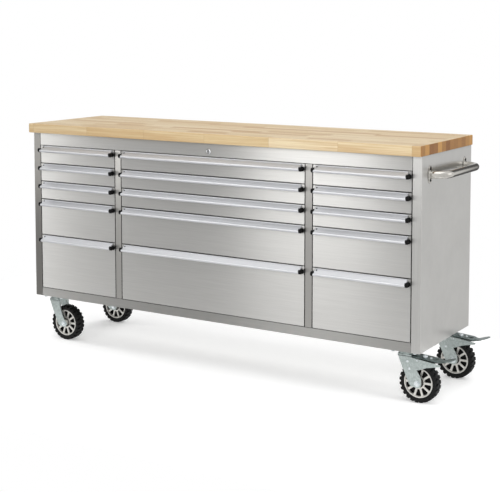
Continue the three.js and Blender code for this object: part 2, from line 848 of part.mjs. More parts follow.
function addDrawers() {
  const columnCentre = (centreColumnWidth + sideColumnWidth) / 2 + dividerWidth;
  const columns = [
    { name: 'left', x: -columnCentre, width: sideColumnWidth },
    { name: 'centre', x: 0, width: centreColumnWidth },
    { name: 'right', x: columnCentre, width: sideColumnWidth },
  ];
  for (const column of columns) {
    rows().forEach((row, i) => {
      const bottom = row.bottom + drawerGap / 2;
      const body = named(`drawer_${column.name}_${i + 1}`, drawer(column.width, row.height), brushedSteel());
      body.position.set(column.x, frontY, bottom);
      chest.add(body);
      const rail = named(`handle_${column.name}_${i + 1}`, drawerHandle(column.width), anodisedAluminium());
      rail.position.set(column.x, frontY, bottom + row.height - drawerGap);
      chest.add(rail);
    });
  }
}

function addPushHandle() {
  const handle = named('push_handle', pushHandle(), polishedSteel());
  handle.position.set(endX, 0, topZ - pushDrop);
  chest.add(handle);
}

function addCasters() {
  const x = endX - casterInsetEnd;
  const y = cabinetDepth / 2 - casterInsetFace;
  for (const [end, sideX, braked] of [['left', -x, false], ['right', x, true]]) {
    for (const [face, sideY] of [['front', -y], ['rear', y]]) {
      const group = caster(`${face}_${end}`, braked);
      group.position.set(sideX, sideY, 0);
      chest.add(group);
    }
  }
}

// Put the origin on the floor, under the middle of the chest's bounding box.
function centreOnFloor() {
  const box = new THREE.Box3().setFromObject(chest, true);
  chest.position.set(-(box.min.x + box.max.x) / 2, -(box.min.y + box.max.y) / 2, -box.min.z);
}

addCarcass();
addLock();
addDrawers();
addPushHandle();
addCasters();
centreOnFloor();

export default chest;
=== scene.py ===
import math

import bmesh
import bpy
from bpy.props import FloatProperty, FloatVectorProperty, IntProperty, PointerProperty
from mathutils import Matrix, Vector


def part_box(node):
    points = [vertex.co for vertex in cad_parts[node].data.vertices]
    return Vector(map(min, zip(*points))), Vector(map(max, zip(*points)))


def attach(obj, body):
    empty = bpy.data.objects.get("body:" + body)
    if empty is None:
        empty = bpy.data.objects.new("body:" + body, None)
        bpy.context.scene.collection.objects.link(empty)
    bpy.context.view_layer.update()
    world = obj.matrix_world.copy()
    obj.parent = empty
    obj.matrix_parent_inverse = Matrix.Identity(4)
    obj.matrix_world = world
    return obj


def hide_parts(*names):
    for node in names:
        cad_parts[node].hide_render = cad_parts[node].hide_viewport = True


bl_info = {
    "name": "Rolling tool chest",
    "version": (1, 0, 0),
    "blender": (4, 5, 0),
    "location": "3D View > Sidebar > Tool Chest",
    "description": "Finishes a stainless-steel tool chest on casters and its studio",
    "category": "Add Mesh",
}

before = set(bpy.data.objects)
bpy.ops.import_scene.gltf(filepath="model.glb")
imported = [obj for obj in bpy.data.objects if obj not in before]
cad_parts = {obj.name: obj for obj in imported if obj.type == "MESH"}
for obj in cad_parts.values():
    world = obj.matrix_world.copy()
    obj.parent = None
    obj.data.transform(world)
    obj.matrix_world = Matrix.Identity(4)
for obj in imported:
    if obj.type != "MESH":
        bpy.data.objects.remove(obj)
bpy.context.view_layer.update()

MM = 0.001
BRUSHED_ANISOTROPY = 0.93
# A sheet's edge beside a seam takes painted shade where its rounded and its flat normal agree by
# less than this
SEAM_SHADE_COSINE = 0.96
# Seams, where the painted shade goes, lie within this share of the carcass's half width and half
# height
SEAM_SHADE_SHARE = 0.97
PAINTED_SHADE_REACH, PAINTED_SHADE_SHARE = 16 * MM, 0.6  # painted shade in the angle between a ledge and a front
FLOOR_CORNERS = ((-1.25, -0.52), (1.25, -0.52), (1.25, 0.55), (-1.25, 0.55))
# The floor round that, which keeps the shadows of open drawers but isn't mirrored
SURROUND_CORNERS = ((-1.9, -1.15), (1.9, -1.15), (1.9, 0.8), (-1.9, 0.8))
# Greys of the studio walls round the chest, as (degrees from -Y towards -X, grey)
WALL_GREYS = (
    (90, 0.25), (60, 0.25), (48, 0.4), (43, 1.0), (39, 0.6), (35, 0.38), (31, 0.4), (27, 0.5),
    (22, 0.5), (18, 1.0), (0, 1.0), (-60, 0.85), (-110, 0.9), (-150, 1.0), (-157, 0.9),
    (-164, 0.12), (-190, 0.12), (-200, 0.8), (-270, 0.3),
)
# Sines of the heights between which the walls turn into the white ceiling
CEILING = (0.45, 0.7)
# Lamps, as (power setting, place, target, size, shown in mirrors, and spread in degrees if narrow)
LAMPS = (
    ("key", (0, -0.8, 3.2), (0, -0.3, 0.5), (4.6, 2.6), True),
    ("strip", (-1.5, -3.75, 1.6), (-0.2, 0, 0.6), (0.9, 3.0), True),
    ("low_strip", (-4.6, -3.7, 0.5), (-0.7, 0, 0.4), (1.2, 1.1), True),
    ("fill", (2.0, -3.6, 1.5), (0, 0, 0.5), (1.6, 1.6), False),
    ("rear", (0, 2.6, 1.6), (0, 0.2, 0), (3.0, 0.8), False),
    ("side", (3.4, 0.8, 1.6), (0.8, 0, 0.5), (1.6, 1.6), True),
    ("grids", (-1.75, -0.16, 0.24), (0, -0.16, 0.1), (0.14, 0.1), False, 60),
    ("grids", (1.75, -0.16, 0.24), (0, -0.16, 0.1), (0.14, 0.1), False, 60),
)
FIT = 0.3 * MM  # clearance between pieces that touch
COLUMNS = ("left", "centre", "right")
ROWS = (1, 2, 3, 4, 5)
CORNERS = ("front_left", "rear_left", "front_right", "rear_right")
BRAKED = ("front_right", "rear_right")

# Edges of a fork, as (distance from the kingpin, depth below the fork's head, rounding) in mm
LEG_BACK = (
    (-18.5, 24, 30), (-7, 51, 40), (2, 68, 30), (11, 89, 20), (19, 106, 14), (27, 114.5, 10),
)
PLAIN_LEG_FRONT = ((52, 84, 14), (42, 64, 30), (29, 24, 20))
BRAKED_LEG_FRONT = ((65, 78, 12), (49, 52, 12), (29, 24, 20))
GUARD = (
    (-7, 44, 9), (-3, 26.5, 9), (25, 5.5, 7), (140, 19.5, 3), (141.5, 25, 4), (88, 37, 40),
    (61, 48, 20), (46, 52, 20), (28, 60, 20), (4, 63, 8),
)
GUARD_RIVETS = ((51, 14.5, 3.2), (20, 48.5, 5))  # (distance, depth, radius) in mm
# The flange turned in at the front of a plain leg: (distance, depth, width) in mm
LEG_FLANGE = ((27, 0, 13), (28.2, 13.5, 13), (29, 25, 3.8), (42, 64, 1.2))

# Corners of the pedal between its body, neck and toe, as (X from the bend, rounding) in mm
PEDAL_SIDE = ((-24, 8), (-8, 8), (1, 6), (16, 12))
PEDAL_SLOT = (-40, -19, 9.5)  # start and end from the bend, half width
# Brake screw with a hollow head, and a rivet, made bright zinc as a painted highlight on the pedal:
# (X, radius, height) in mm, and the hollow's floor
PEDAL_STUDS = ((69, 10, 6, 0.3), (92, 5, 3, 0.9))
STUD_RING = ((1, 0), (0.96, 0.7), (0.82, 1), (0.62, 1))

# Half a tyre's section from the bead outwards, for a radius of TYRE_RADIUS:
# (share of the half width, radius in mm, share of the grooves' depth)
TYRE_RADIUS = 75.6
TYRE_SIDE = (
    (0.80, 56.7, 0), (0.87, 58.2, 0), (0.915, 60.5, 0), (0.905, 61.6, 0), (0.935, 62.8, 0),
    (0.965, 65.5, 0), (0.985, 67.8, 0), (0.995, 69.3, 0.45), (0.985, 71.4, 0.8),
    (0.93, 73.6, 1), (0.84, 75, 1), (0.7, 75.6, 1), (0.52, 75.6, 1), (0.36, 75.6, 1),
    (0.3, 75.6, 0.35), (0.14, 75.6, 0.3),
)
TYRE_BEAD = (0.78, 56.4)
# Along a lug's pitch: (share of the pitch, 1 in the groove)
TYRE_STATIONS = ((0, 0), (0.14, 0), (0.27, 0), (0.33, 1), (0.5, 1), (0.67, 1), (0.73, 0), (0.86, 0))
# Window between two spokes, as (distance from the axle, half width, rounding) in mm
WINDOW = ((24.5, -3.9, 2.6), (48.6, -11.4, 4), (50.2, 0, 30), (48.6, 11.4, 4), (24.5, 3.9, 2.6))

ALONG_X = Matrix.Rotation(math.radians(90), 4, "Y")
ALONG_Y = Matrix.Rotation(math.radians(-90), 4, "X")
ALONG_Z = Matrix.Identity(4)


# ---- settings ---------------------------------------------------------------------------------


def linear(hex_colour):
    """Linear RGB of an sRGB hex colour such as #C9C8C5."""
    values = (int(hex_colour[i : i + 2], 16) / 255 for i in (1, 3, 5))
    return tuple(v / 12.92 if v <= 0.04045 else ((v + 0.055) / 1.055) ** 2.4 for v in values)


def colour(description, hex_colour):
    """A colour property that starts at an sRGB hex value."""
    return FloatVectorProperty(
        description=description, subtype="COLOR", size=3, min=0, max=1, default=linear(hex_colour)
    )


def length(description, millimetres):
    """A length property that starts at a size in millimetres."""
    return FloatProperty(
        description=description, unit="LENGTH", precision=4, min=0, default=millimetres * MM
    )


def angle(description, degrees):
    """An angle property that starts at a value in degrees."""
    return FloatProperty(description=description, subtype="ANGLE", default=math.radians(degrees))


def amount(description, default, **limits):
    """A plain number property."""
    return FloatProperty(description=description, default=default, **limits)


class ChestColours(bpy.types.PropertyGroup):
    """Colours of the chest's finishes"""

    steel: colour("Brushed stainless sheet", "#D6D5D2")
    steel_dark: colour("Deeper scratches of the brushing", "#CDCCC9")
    # Darker copy of the steel on the posts between the drawers: painted shade
    post: colour("Folded posts between the drawers", "#C2C0BC")
    # Darker copy of the steel on the base pan: painted shade of the shadowed floor it mirrors
    base: colour("Duller sheet near the floor", "#B0AFAC")
    # Much darker copy of the steel on the left end panel: painted shade
    far_end: colour("Duller sheet of the end without the handle", "#94928E")
    # Dark coat inside, which in the seams between the drawers is painted shade
    mill: colour("Dark coat inside the carcass and the trays", "#303032")
    aluminium: colour("Anodised handle rails", "#E2E3E6")
    tube: colour("Polished push handle", "#C6C3BD")
    chrome: colour("Lock bezel and plug", "#DADBDC")
    zinc: colour("Forks, plates and guards", "#BEC6C4")
    zinc_dark: colour("Duller crystals of the zinc", "#A9B2B0")
    pedal: colour("Passivated brake pedals", "#7D8A89")
    fastener: colour("Bright zinc bolts and rivets", "#E2E8EA")
    screw: colour("Blackened screws of the push handle", "#3A3A3A")
    rim: colour("Silver lacquer of the wheels", "#CFCDC8")
    core: colour("Black plastic behind the spokes", "#0C0C0C")
    rubber: colour("Tyres", "#0E0E0E")
    cap: colour("Moulded caps of the handle rails", "#0A0A0B")
    maple: colour("Most staves of the worktop", "#D0BA90")
    maple_pale: colour("Palest staves", "#E0D0AE")
    maple_tan: colour("Darkest staves", "#B48F60")
    end_grain: colour("Sawn ends of the staves", "#DCA75E")
    end_grain_dark: colour("Growth rings in the sawn ends", "#743C04")
    floor: colour("Studio floor", "#F4F4F4")


class ChestSizes(bpy.types.PropertyGroup):
    """Sizes of the chest's pieces that the frame doesn't give"""

    fold: length("Rounding of the folded sheet's corners", 1.2)
    # Width of the painted shade on the sheet's edge beside a seam
    seam_shade_width: length("Rolled edge of the sheet beside a seam", 2.4)
    rail_foot: length("Thickness of the rail's strip on the drawer front", 2.5)
    rail_ledge: length("Height of the strip above the slope", 3.6)
    rail_skin: length("Wall of the extrusion", 1.8)
    grip_radius: length("Rounded nose of the rail", 5.6)
    grip_reach: length("Grip's centre from the rail's back", 20.7)
    grip_drop: length("Grip's centre below the rail's top", 21.7)
    rail_slope: angle("Fall of the rail towards its grip", 38)
    cap_length: length("End cap along the rail", 11)
    cap_depth: length("Half the depth of a lobe of the end cap", 6.4)
    cap_drop: length("End cap's middle below the rail's top", 19.5)
    cap_height: length("Half the height of a lobe of the end cap", 8.6)
    cap_neck: length("Half the height between the lobes", 3.6)
    cap_reach: length("Front lobe's centre from the rail's back", 19.9)
    tube_radius: length("Radius of the push handle", 14)
    tube_bend: length("Bend radius of the push handle", 50)
    flange_width: length("Width of the push handle's oval flanges", 36)
    flange_height: length("Height of the flanges", 64)
    flange_thickness: length("Thickness of the flanges", 3)
    flange_screw: length("Screw centre from the tube's centre", 21)
    bezel_radius: length("Radius of the lock's bezel", 11.5)
    plug_radius: length("Radius of the lock's plug", 6.4)
    stave_width: length("Glued staves of the worktop", 39)
    stave_length: length("Mean length of a stave", 260)
    grain: length("Spacing of the wood's grain lines", 4)
    ring: length("Spacing of the rings in the end grain", 4)
    brushing: length("Width of a brushed streak", 3)
    brushing_run: length("Length of a brushed streak", 160)
    spangle: length("Crystals of the zinc plate", 5)
    tyre_width: length("Across the tread", 45)
    lug_depth: length("Depth of the grooves between the lugs", 5.6)
    rim_ring: length("Radius inside the rim's edge", 50.5)
    spoke_face: length("Outer face of the spokes from the wheel's middle", 15)
    spoke_sheet: length("Thickness of a spoked face", 5)
    hub_hole: length("Recess round the hub", 18.5)
    hub_boss: length("Radius of the hub's ends", 14)
    fork_sheet: length("Thickness of the fork", 3.5)
    guard_sheet: length("Thickness of the guard plates", 2.5)
    fork_inside: length("Between the fork's legs", 55)
    fork_head: length("Half the length of the fork's head", 27)
    fork_foot: length("Radius of the leg round the axle", 17)
    fork_bend: length("Outer radius where the head turns into the legs", 6)
    race_radius: length("Radius of the swivel race", 34)
    axle_head: length("Radius of the axle bolt's head", 9)
    pin_radius: length("Radius of the brake pedal's pin", 4)
    pin_reach: length("Pedal's pin from the kingpin", 13)
    pin_drop: length("Pedal's pin below the fork's head", 21.5)
    pedal_sheet: length("Thickness of the brake pedal", 2.5)
    pedal_space: length("Between the fork's head and the pedal", 1.5)
    pedal_bend: length("Where the toe turns up, from the kingpin", 139)
    pedal_neck: length("Half the width of the neck", 17)
    pedal_toe: length("Half the width of the toe", 24)
    pedal_slope: angle("Fall of the pedal towards its toe", 4.5)
    toe_slope: angle("Rise of the toe", 16)
    lugs: IntProperty(description="Tread blocks on a shoulder", default=24, min=8)
    spokes: IntProperty(description="Spokes of a wheel", default=10, min=3)


class StudioSettings(bpy.types.PropertyGroup):
    """Camera and lamps of the studio"""

    camera: FloatVectorProperty(
        description="Place of the camera", subtype="XYZ", unit="LENGTH",
        default=(2.5035, -4.0901, 1.3817),
    )
    yaw: angle("Camera turned from +Y", 31.455)
    pitch: angle("Camera tilted down", 4.735)
    lens: amount("Focal length", 84.93, subtype="DISTANCE_CAMERA")
    shift: amount("Vertical shift of the lens", -0.25)
    key: amount("Overhead softbox, in watts", 43, min=0)
    strip: amount("Tall softbox before the chest, in watts", 18, min=0)
    low_strip: amount("Low softbox at the far left, in watts", 11, min=0)
    fill: amount("Softbox beside the camera, in watts", 72, min=0)
    rear: amount("Softbox behind the chest, in watts", 40, min=0)
    side: amount("Softbox beyond the push handle, in watts", 6, min=0)
    grids: amount("Gridded lamps along the floor, in watts", 0.6, min=0)
    sky: amount("Light of the pale studio walls", 0.5, min=0)
    floor_glow: amount("Background share of the white floor", 0.25, min=0)


# ---- meshes -----------------------------------------------------------------------------------


def arc(centre, radius, start, end, steps):
    """Points on an arc in a plane, from one angle to another in degrees."""
    angles = (math.radians(start + (end - start) * i / steps) for i in range(steps + 1))
    return [(centre[0] + radius * math.cos(a), centre[1] + radius * math.sin(a)) for a in angles]


def in_metres(rows):
    """Rows of sizes in millimetres, turned into metres."""
    return [tuple(value * MM for value in row) for row in rows]


def rounded(corners, steps=5):
    """A closed outline through (x, y, radius) corners, each turned into a curve."""
    outline = []
    for i, (x, y, radius) in enumerate(corners):
        here = Vector((x, y))
        before = Vector(corners[i - 1][:2]) - here
        after = Vector(corners[(i + 1) % len(corners)][:2]) - here
        half = before.angle(after) / 2
        if radius == 0 or half > math.radians(88):
            outline.append((x, y))
            continue
        reach = min(radius / math.tan(half), 0.49 * before.length, 0.49 * after.length)
        a = here + before.normalized() * reach
        b = here + after.normalized() * reach
        for step in range(steps + 1):
            t = step / steps
            p = a * (1 - t) ** 2 + here * 2 * t * (1 - t) + b * t**2
            outline.append((p.x, p.y))
    return outline


def skin(bm, rings, closed=False):
    """Faces between rings of vertices: capped at both ends, or closed from last to first."""
    for ring, after in zip(rings, rings[1:] + rings[:1] if closed else rings[1:]):
        for i in range(len(ring)):
            bm.faces.new((ring[i - 1], ring[i], after[i], after[i - 1]))
    if not closed:
        bm.faces.new(reversed(rings[0]))
        bm.faces.new(rings[-1])


def symmetric(points):
    """(radius, height) points, and then their images below, from the last back to the first."""
    return points + [(r, -height) for r, height in reversed(points)]


def prism(bm, outline, start, end, turn=ALONG_Z, place=(0, 0, 0)):
    """A closed outline pushed from start to end along Z, then turned and placed."""
    matrix = Matrix.Translation(place) @ turn
    skin(bm, [[bm.verts.new(matrix @ Vector((*p, z))) for p in outline] for z in (start, end)])


def profile_y(bm, outline, start, end, place=(0, 0, 0)):
    """A closed outline in (X, Z), pushed along Y."""
    turn = Matrix(((1, 0, 0, 0), (0, 0, 1, 0), (0, 1, 0, 0), (0, 0, 0, 1)))
    prism(bm, outline, start, end, turn, place)


def profile_x(bm, outline, start, end, place=(0, 0, 0)):
    """A closed outline in (Y, Z), pushed along X."""
    turn = Matrix(((0, 0, 1, 0), (1, 0, 0, 0), (0, 1, 0, 0), (0, 0, 0, 1)))
    prism(bm, outline, start, end, turn, place)


def lathe(bm, profile, steps=48, turn=ALONG_Z, place=(0, 0, 0), closed=False):
    """(radius, height) points turned about Z; an open profile is capped at both ends."""
    matrix = Matrix.Translation(place) @ turn
    around = [(math.cos(a), math.sin(a)) for a in (2 * math.pi * i / steps for i in range(steps))]
    skin(bm, [
        [bm.verts.new(matrix @ Vector((r * c, r * s, height))) for c, s in around]
        for r, height in profile
    ], closed)


def pierced(bm, outline, holes, thickness):
    """A plate in XY with holes, from z = 0 up to its thickness."""
    edges = []
    for loop in (outline, *holes):
        verts = [bm.verts.new((x, y, 0)) for x, y in loop]
        edges += [bm.edges.new((verts[i - 1], verts[i])) for i in range(len(verts))]
    filled = bmesh.ops.triangle_fill(bm, edges=edges, use_beauty=True, use_dissolve=False)
    faces = [f for f in filled["geom"] if isinstance(f, bmesh.types.BMFace)]
    raised = bmesh.ops.extrude_face_region(bm, geom=faces)
    verts = [v for v in raised["geom"] if isinstance(v, bmesh.types.BMVert)]
    bmesh.ops.translate(bm, verts=verts, vec=(0, 0, thickness))


def tube(bm, path, radius, sides=32):
    """A round bar along a path that lies in a level plane."""
    rings = []
    for i, here in enumerate(path):
        ahead = Vector(path[min(i + 1, len(path) - 1)]) - Vector(path[max(i - 1, 0)])
        across = ahead.normalized().cross(Vector((0, 0, 1)))
        ring = []
        for k in range(sides):
            angle = 2 * math.pi * k / sides
            offset = across * math.cos(angle) + Vector((0, 0, 1)) * math.sin(angle)
            ring.append(bm.verts.new(Vector(here) + offset * radius))
        rings.append(ring)
    skin(bm, rings)


def hex_head(bm, radius, height, turn, place):
    """A chamfered bolt head or nut that stands on its place along the turned Z axis."""
    edge = 0.12 * radius
    flat = radius - edge
    profile = [(flat, 0), (radius, edge / 2), (radius, height - edge), (flat, height)]
    lathe(bm, profile, 6, turn, place)


def round_head(bm, radius, height, turn, place):
    """A domed rivet or screw head."""
    profile = [(radius, 0)] + [
        (radius * math.cos(a), height * math.sin(a)) for a in (0.4, 0.8, 1.2, 1.45)
    ]
    lathe(bm, profile, 20, turn, place)


def to_mesh(bm, name, material, smooth=35):
    """The finished mesh, with its normals outward and its sharp edges kept."""
    bmesh.ops.recalc_face_normals(bm, faces=bm.faces)
    mesh = bpy.data.meshes.new(name)
    bm.to_mesh(mesh)
    bm.free()
    mesh.shade_smooth()
    mesh.set_sharp_from_angle(angle=math.radians(smooth))
    mesh.materials.append(material)
    return mesh


def bevel(piece, width, segments=2, angle=30):
    """Rounds the sharp edges of a piece, as its pressing, folding or moulding does."""
    modifier = piece.modifiers.new("edge rounding", "BEVEL")
    modifier.width = width
    modifier.segments = segments
    modifier.limit_method = "ANGLE"
    modifier.angle_limit = math.radians(angle)
    modifier.harden_normals = True


def add_piece(name, mesh, place, body, nodes=()):
    """Places a mesh, lets it ride on a body and hides the frame's nodes that it stands for."""
    piece = bpy.data.objects.new(name, mesh)
    bpy.context.scene.collection.objects.link(piece)
    piece.location = place
    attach(piece, body)
    if nodes:
        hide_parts(*nodes)
    return piece


def dress(node, material, rounding=0):
    """Gives a node of the frame its finish and, where asked, rounded edges."""
    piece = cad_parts[node]
    piece.data.materials.clear()
    piece.data.materials.append(material)
    if rounding:
        weld = piece.modifiers.new("one skin", "WELD")
        weld.merge_threshold = 0.01 * MM
        flat = piece.modifiers.new("whole faces", "DECIMATE")
        flat.decimate_type = "DISSOLVE"
        flat.angle_limit = math.radians(1)
        bevel(piece, rounding)
    return piece


def middle(node):
    """Centre of a node's box."""
    low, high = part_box(node)
    return (low + high) / 2


def shade(base, share):
    """A colour scaled by a share, and held below 1."""
    return tuple(min(share * c, 1) for c in base)


# ---- materials --------------------------------------------------------------------------------


def connect(tree, node, inputs):
    """Sets a node's inputs; each is a value or the output that feeds it."""
    for key, value in inputs.items():
        if isinstance(value, bpy.types.NodeSocket):
            tree.links.new(value, node.inputs[key])
        else:
            node.inputs[key].default_value = value


def add_node(tree, kind, inputs=None, output=0, stops=(), **settings):
    """Adds a shader node with its settings and links, and returns one of its outputs."""
    node = tree.nodes.new("ShaderNode" + kind)
    for key, value in settings.items():
        setattr(node, key, value)
    connect(tree, node, inputs or {})
    for i, (position, value) in enumerate(stops):
        ramp = node.color_ramp.elements
        stop = ramp[i] if i < len(ramp) else ramp.new(position)
        stop.position = position
        stop.color = (*value, 1)
    return None if output is None else node.outputs[output]


def blank_material(name):
    """A material, its tree, its Principled shader and the object coordinates."""
    material = bpy.data.materials.new(name)
    material.use_nodes = True
    tree = material.node_tree
    tree.nodes.clear()
    surface = add_node(tree, "BsdfPrincipled")
    add_node(tree, "OutputMaterial", {"Surface": surface}, output=None)
    place = add_node(tree, "TexCoord", output="Object")
    return material, tree, surface.node, place


def streaked_metal(
    name, light, dark, grain, roughness, spread, relief, across=None, hollow=None, edge=0
):
    """Metal with fine parallel lines: grain is the length of a streak along X, Y and Z.

    Where the lines are brushed, across is the direction square to them. Where the sheet has a dark
    coat inside, hollow is the middle and the half size of the box that holds it; in the seams this
    dark coat is painted shade. The sheet's edges beside a seam, as wide as edge, roll back into the
    gap and take painted shade, and painted shade also darkens the angles between ledges and the
    front.
    """
    material, tree, shader, place = blank_material(name)
    mapped = add_node(tree, "Mapping", {"Vector": place, "Scale": tuple(1 / run for run in grain)})
    streaks = add_node(tree, "TexNoise", {
        "Vector": mapped, "Scale": 1, "Detail": 5, "Roughness": 0.65})
    tone = add_node(tree, "ValToRGB", {"Fac": streaks}, stops=[(0.3, dark), (0.7, light)])
    polish = add_node(tree, "MapRange", {
        "Value": streaks, "From Min": 0.3, "From Max": 0.7, "To Min": roughness + spread,
        "To Max": roughness - spread})
    bump = add_node(tree, "Bump", {"Height": streaks, "Strength": relief, "Distance": 0.1 * MM})
    connect(tree, shader, {"Metallic": 1, "Roughness": polish, "Normal": bump})
    if across:
        axis = add_node(tree, "CombineXYZ", dict(zip(("X", "Y", "Z"), across)))
        connect(tree, shader, {"Anisotropic": BRUSHED_ANISOTROPY, "Tangent": axis})
    if hollow:
        centre, half = hollow
        moved = add_node(tree, "VectorMath", {0: place, 1: centre}, operation="SUBTRACT")
        shared = add_node(tree, "VectorMath", {0: moved, 1: half}, operation="DIVIDE")
        inward = add_node(tree, "VectorMath", {0: shared}, operation="ABSOLUTE")
        parts = add_node(tree, "SeparateXYZ", {0: inward}).node.outputs
        wider = add_node(tree, "Math", {0: parts["X"], 1: parts["Y"]}, operation="MAXIMUM")
        widest = add_node(tree, "Math", {0: wider, 1: parts["Z"]}, operation="MAXIMUM")
        inside = add_node(tree, "Math", {0: widest, 1: 1}, operation="LESS_THAN")
        # Dark coat inside the box, which in the seams is painted shade
        mill = (*bpy.context.scene.chest_colours.mill, 1)
        # Painted shade on the sheet's edges beside a seam
        if edge:
            rolled = add_node(tree, "Bevel", {"Radius": edge}, samples=6)
            flat = add_node(tree, "NewGeometry", output="True Normal")
            upright = add_node(tree, "VectorMath", {
                0: rolled, 1: flat}, output="Value", operation="DOT_PRODUCT")
            beside = add_node(tree, "Math", {0: upright, 1: SEAM_SHADE_COSINE}, operation="LESS_THAN")
            outward = add_node(tree, "Math", {0: parts["X"], 1: parts["Z"]}, operation="MAXIMUM")
            seam = add_node(tree, "Math", {0: outward, 1: SEAM_SHADE_SHARE}, operation="LESS_THAN")
            both = add_node(tree, "Math", {0: beside, 1: seam}, operation="MULTIPLY")
            inside = add_node(tree, "Math", {0: inside, 1: both}, operation="MAXIMUM")
            # Painted shade from ambient occlusion in the angles under ledges such as the handle
            # rails
            painted_contact_shade = add_node(tree, "AmbientOcclusion", {
                "Color": tone, "Distance": PAINTED_SHADE_REACH}, output="Color", samples=6)
            tone = add_node(tree, "Mix", {
                0: PAINTED_SHADE_SHARE, 6: tone, 7: painted_contact_shade}, output=2, data_type="RGBA")
        # Mix the dark coat and the painted seam shade into the steel's colour
        tone = add_node(tree, "Mix", {0: inside, 6: tone, 7: mill}, output=2, data_type="RGBA")
    connect(tree, shader, {"Base Color": tone})
    return material


def brushed_stainless(name, light=None, upright=False):
    """Stainless sheet, belt-brushed: long fine lines that stretch every reflection across them.

    The lines are drawn some five times as wide as the belt leaves them, or they would not show.
    """
    colours = bpy.context.scene.chest_colours
    sizes = bpy.context.scene.chest_sizes
    run, line = sizes.brushing_run, sizes.brushing
    light = light or colours.steel
    dark = shade(light, colours.steel_dark[0] / colours.steel[0])
    # The coated box, whose dark coat is painted shade in the seams: just inside the carcass's outer
    # faces, and open upwards
    low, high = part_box("left_side_panel")
    far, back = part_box("right_side_panel")[1].x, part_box("back_panel")[1].y
    inset = Vector((sizes.fold, 0.1 * sizes.fold, sizes.fold))
    low, high = low + inset, Vector((far, back, 2 * high.z)) - inset
    return streaked_metal(
        name, light, dark, (line, run, run) if upright else (run, run, line),
        roughness=0.3, spread=0.015, relief=0.015, across=(1, 0.02, 0) if upright else (0, 0, 1),
        hollow=((low + high) / 2, (high - low) / 2), edge=sizes.seam_shade_width,
    )


def anodised_aluminium():
    """Extruded aluminium, satin anodised: faint die lines along it and a soft bright sheen."""
    light = bpy.context.scene.chest_colours.aluminium
    dark = shade(light, 0.93)
    return streaked_metal(
        "satin_anodised_aluminium", light, dark, (200 * MM, 1.2 * MM, 1.2 * MM),
        roughness=0.52, spread=0.03, relief=0.03,
    )


def polished_tube():
    """Stainless tube, mirror-polished round its girth: sharp reflections with a faint haze."""
    light = bpy.context.scene.chest_colours.tube
    dark = shade(light, 0.88)
    return streaked_metal(
        "polished_stainless_tube", light, dark, (12 * MM, 1.5 * MM, 12 * MM),
        roughness=0.14, spread=0.03, relief=0.02,
    )


def lock_chrome():
    """Zinc casting, nickel-chrome plated: bright, with the faintest ripple of the casting."""
    light = bpy.context.scene.chest_colours.chrome
    dark = shade(light, 0.9)
    return streaked_metal(
        "chromed_zinc_casting", light, dark, (6 * MM, 6 * MM, 6 * MM),
        roughness=0.12, spread=0.04, relief=0.03,
    )


def mottled_metal(name, light, dark, patch, roughness, relief=0.06):
    """Plated steel whose crystals differ a little in tone and gloss from patch to patch."""
    material, tree, shader, place = blank_material(name)
    crystals = add_node(tree, "TexVoronoi", {
        "Vector": place, "Scale": 1 / patch, "Randomness": 1}, output="Color", feature="F1")
    cloud = add_node(tree, "TexNoise", {
        "Vector": place, "Scale": 0.3 / patch, "Detail": 4, "Roughness": 0.6})
    blend = add_node(tree, "Mix", {0: 0.6, 6: crystals, 7: cloud}, output=2, data_type="RGBA")
    grey = add_node(tree, "RGBToBW", {"Color": blend})
    tone = add_node(tree, "ValToRGB", {"Fac": grey}, stops=[(0.35, dark), (0.65, light)])
    gloss = add_node(tree, "MapRange", {
        "Value": grey, "From Min": 0.3, "From Max": 0.7, "To Min": roughness + 0.06,
        "To Max": roughness - 0.04})
    bump = add_node(tree, "Bump", {"Height": cloud, "Strength": relief, "Distance": 0.3 * MM})
    connect(tree, shader, {"Base Color": tone, "Metallic": 1, "Roughness": gloss, "Normal": bump})
    return material


def zinc_plate():
    """Pressed steel, bright zinc plated: pale grey-green, with small duller crystals."""
    colours = bpy.context.scene.chest_colours
    patch = bpy.context.scene.chest_sizes.spangle
    return mottled_metal("bright_zinc_plate", colours.zinc, colours.zinc_dark, patch, 0.46)


def passivated_pedal():
    """Pressed steel, dark passivated zinc: grey-green, with a dull gloss."""
    light = bpy.context.scene.chest_colours.pedal
    patch = bpy.context.scene.chest_sizes.spangle
    return mottled_metal("dark_passivated_zinc", light, shade(light, 0.75), patch, 0.34)


def bright_fastener():
    """Cold-headed steel, bright zinc plated: small clear highlights."""
    light = bpy.context.scene.chest_colours.fastener
    return mottled_metal("zinc_plated_fastener", light, shade(light, 0.85), 3 * MM, 0.3)


def black_screw():
    """Cold-headed steel, black oxide: near black, with a soft gloss."""
    light = bpy.context.scene.chest_colours.screw
    return mottled_metal("black_oxide_screw", light, shade(light, 0.7), 2 * MM, 0.35)


def moulded(name, base, roughness, grit, relief, metallic=0.0, variation=0.15, sheen=0.5):
    """Moulded or lacquered surface with a fine texture of the given grit.

    A pitted black surface swallows part of its own sheen, which a sheen under 0.5 stands for.
    """
    material, tree, shader, place = blank_material(name)
    texture = add_node(tree, "TexNoise", {
        "Vector": place, "Scale": 1 / grit, "Detail": 3, "Roughness": 0.6})
    cloud = add_node(tree, "TexNoise", {
        "Vector": place, "Scale": 0.06 / grit, "Detail": 2, "Roughness": 0.5})
    low, high = shade(base, 1 - variation), shade(base, 1 + variation)
    tone = add_node(tree, "ValToRGB", {"Fac": cloud}, stops=[(0.35, low), (0.65, high)])
    gloss = add_node(tree, "MapRange", {
        "Value": texture, "From Min": 0.3, "From Max": 0.7, "To Min": roughness + 0.06,
        "To Max": roughness - 0.06})
    bump = add_node(tree, "Bump", {"Height": texture, "Strength": relief, "Distance": 0.1 * MM})
    connect(tree, shader, {
        "Base Color": tone, "Metallic": metallic, "Roughness": gloss, "Normal": bump,
        "Specular IOR Level": sheen})
    return material


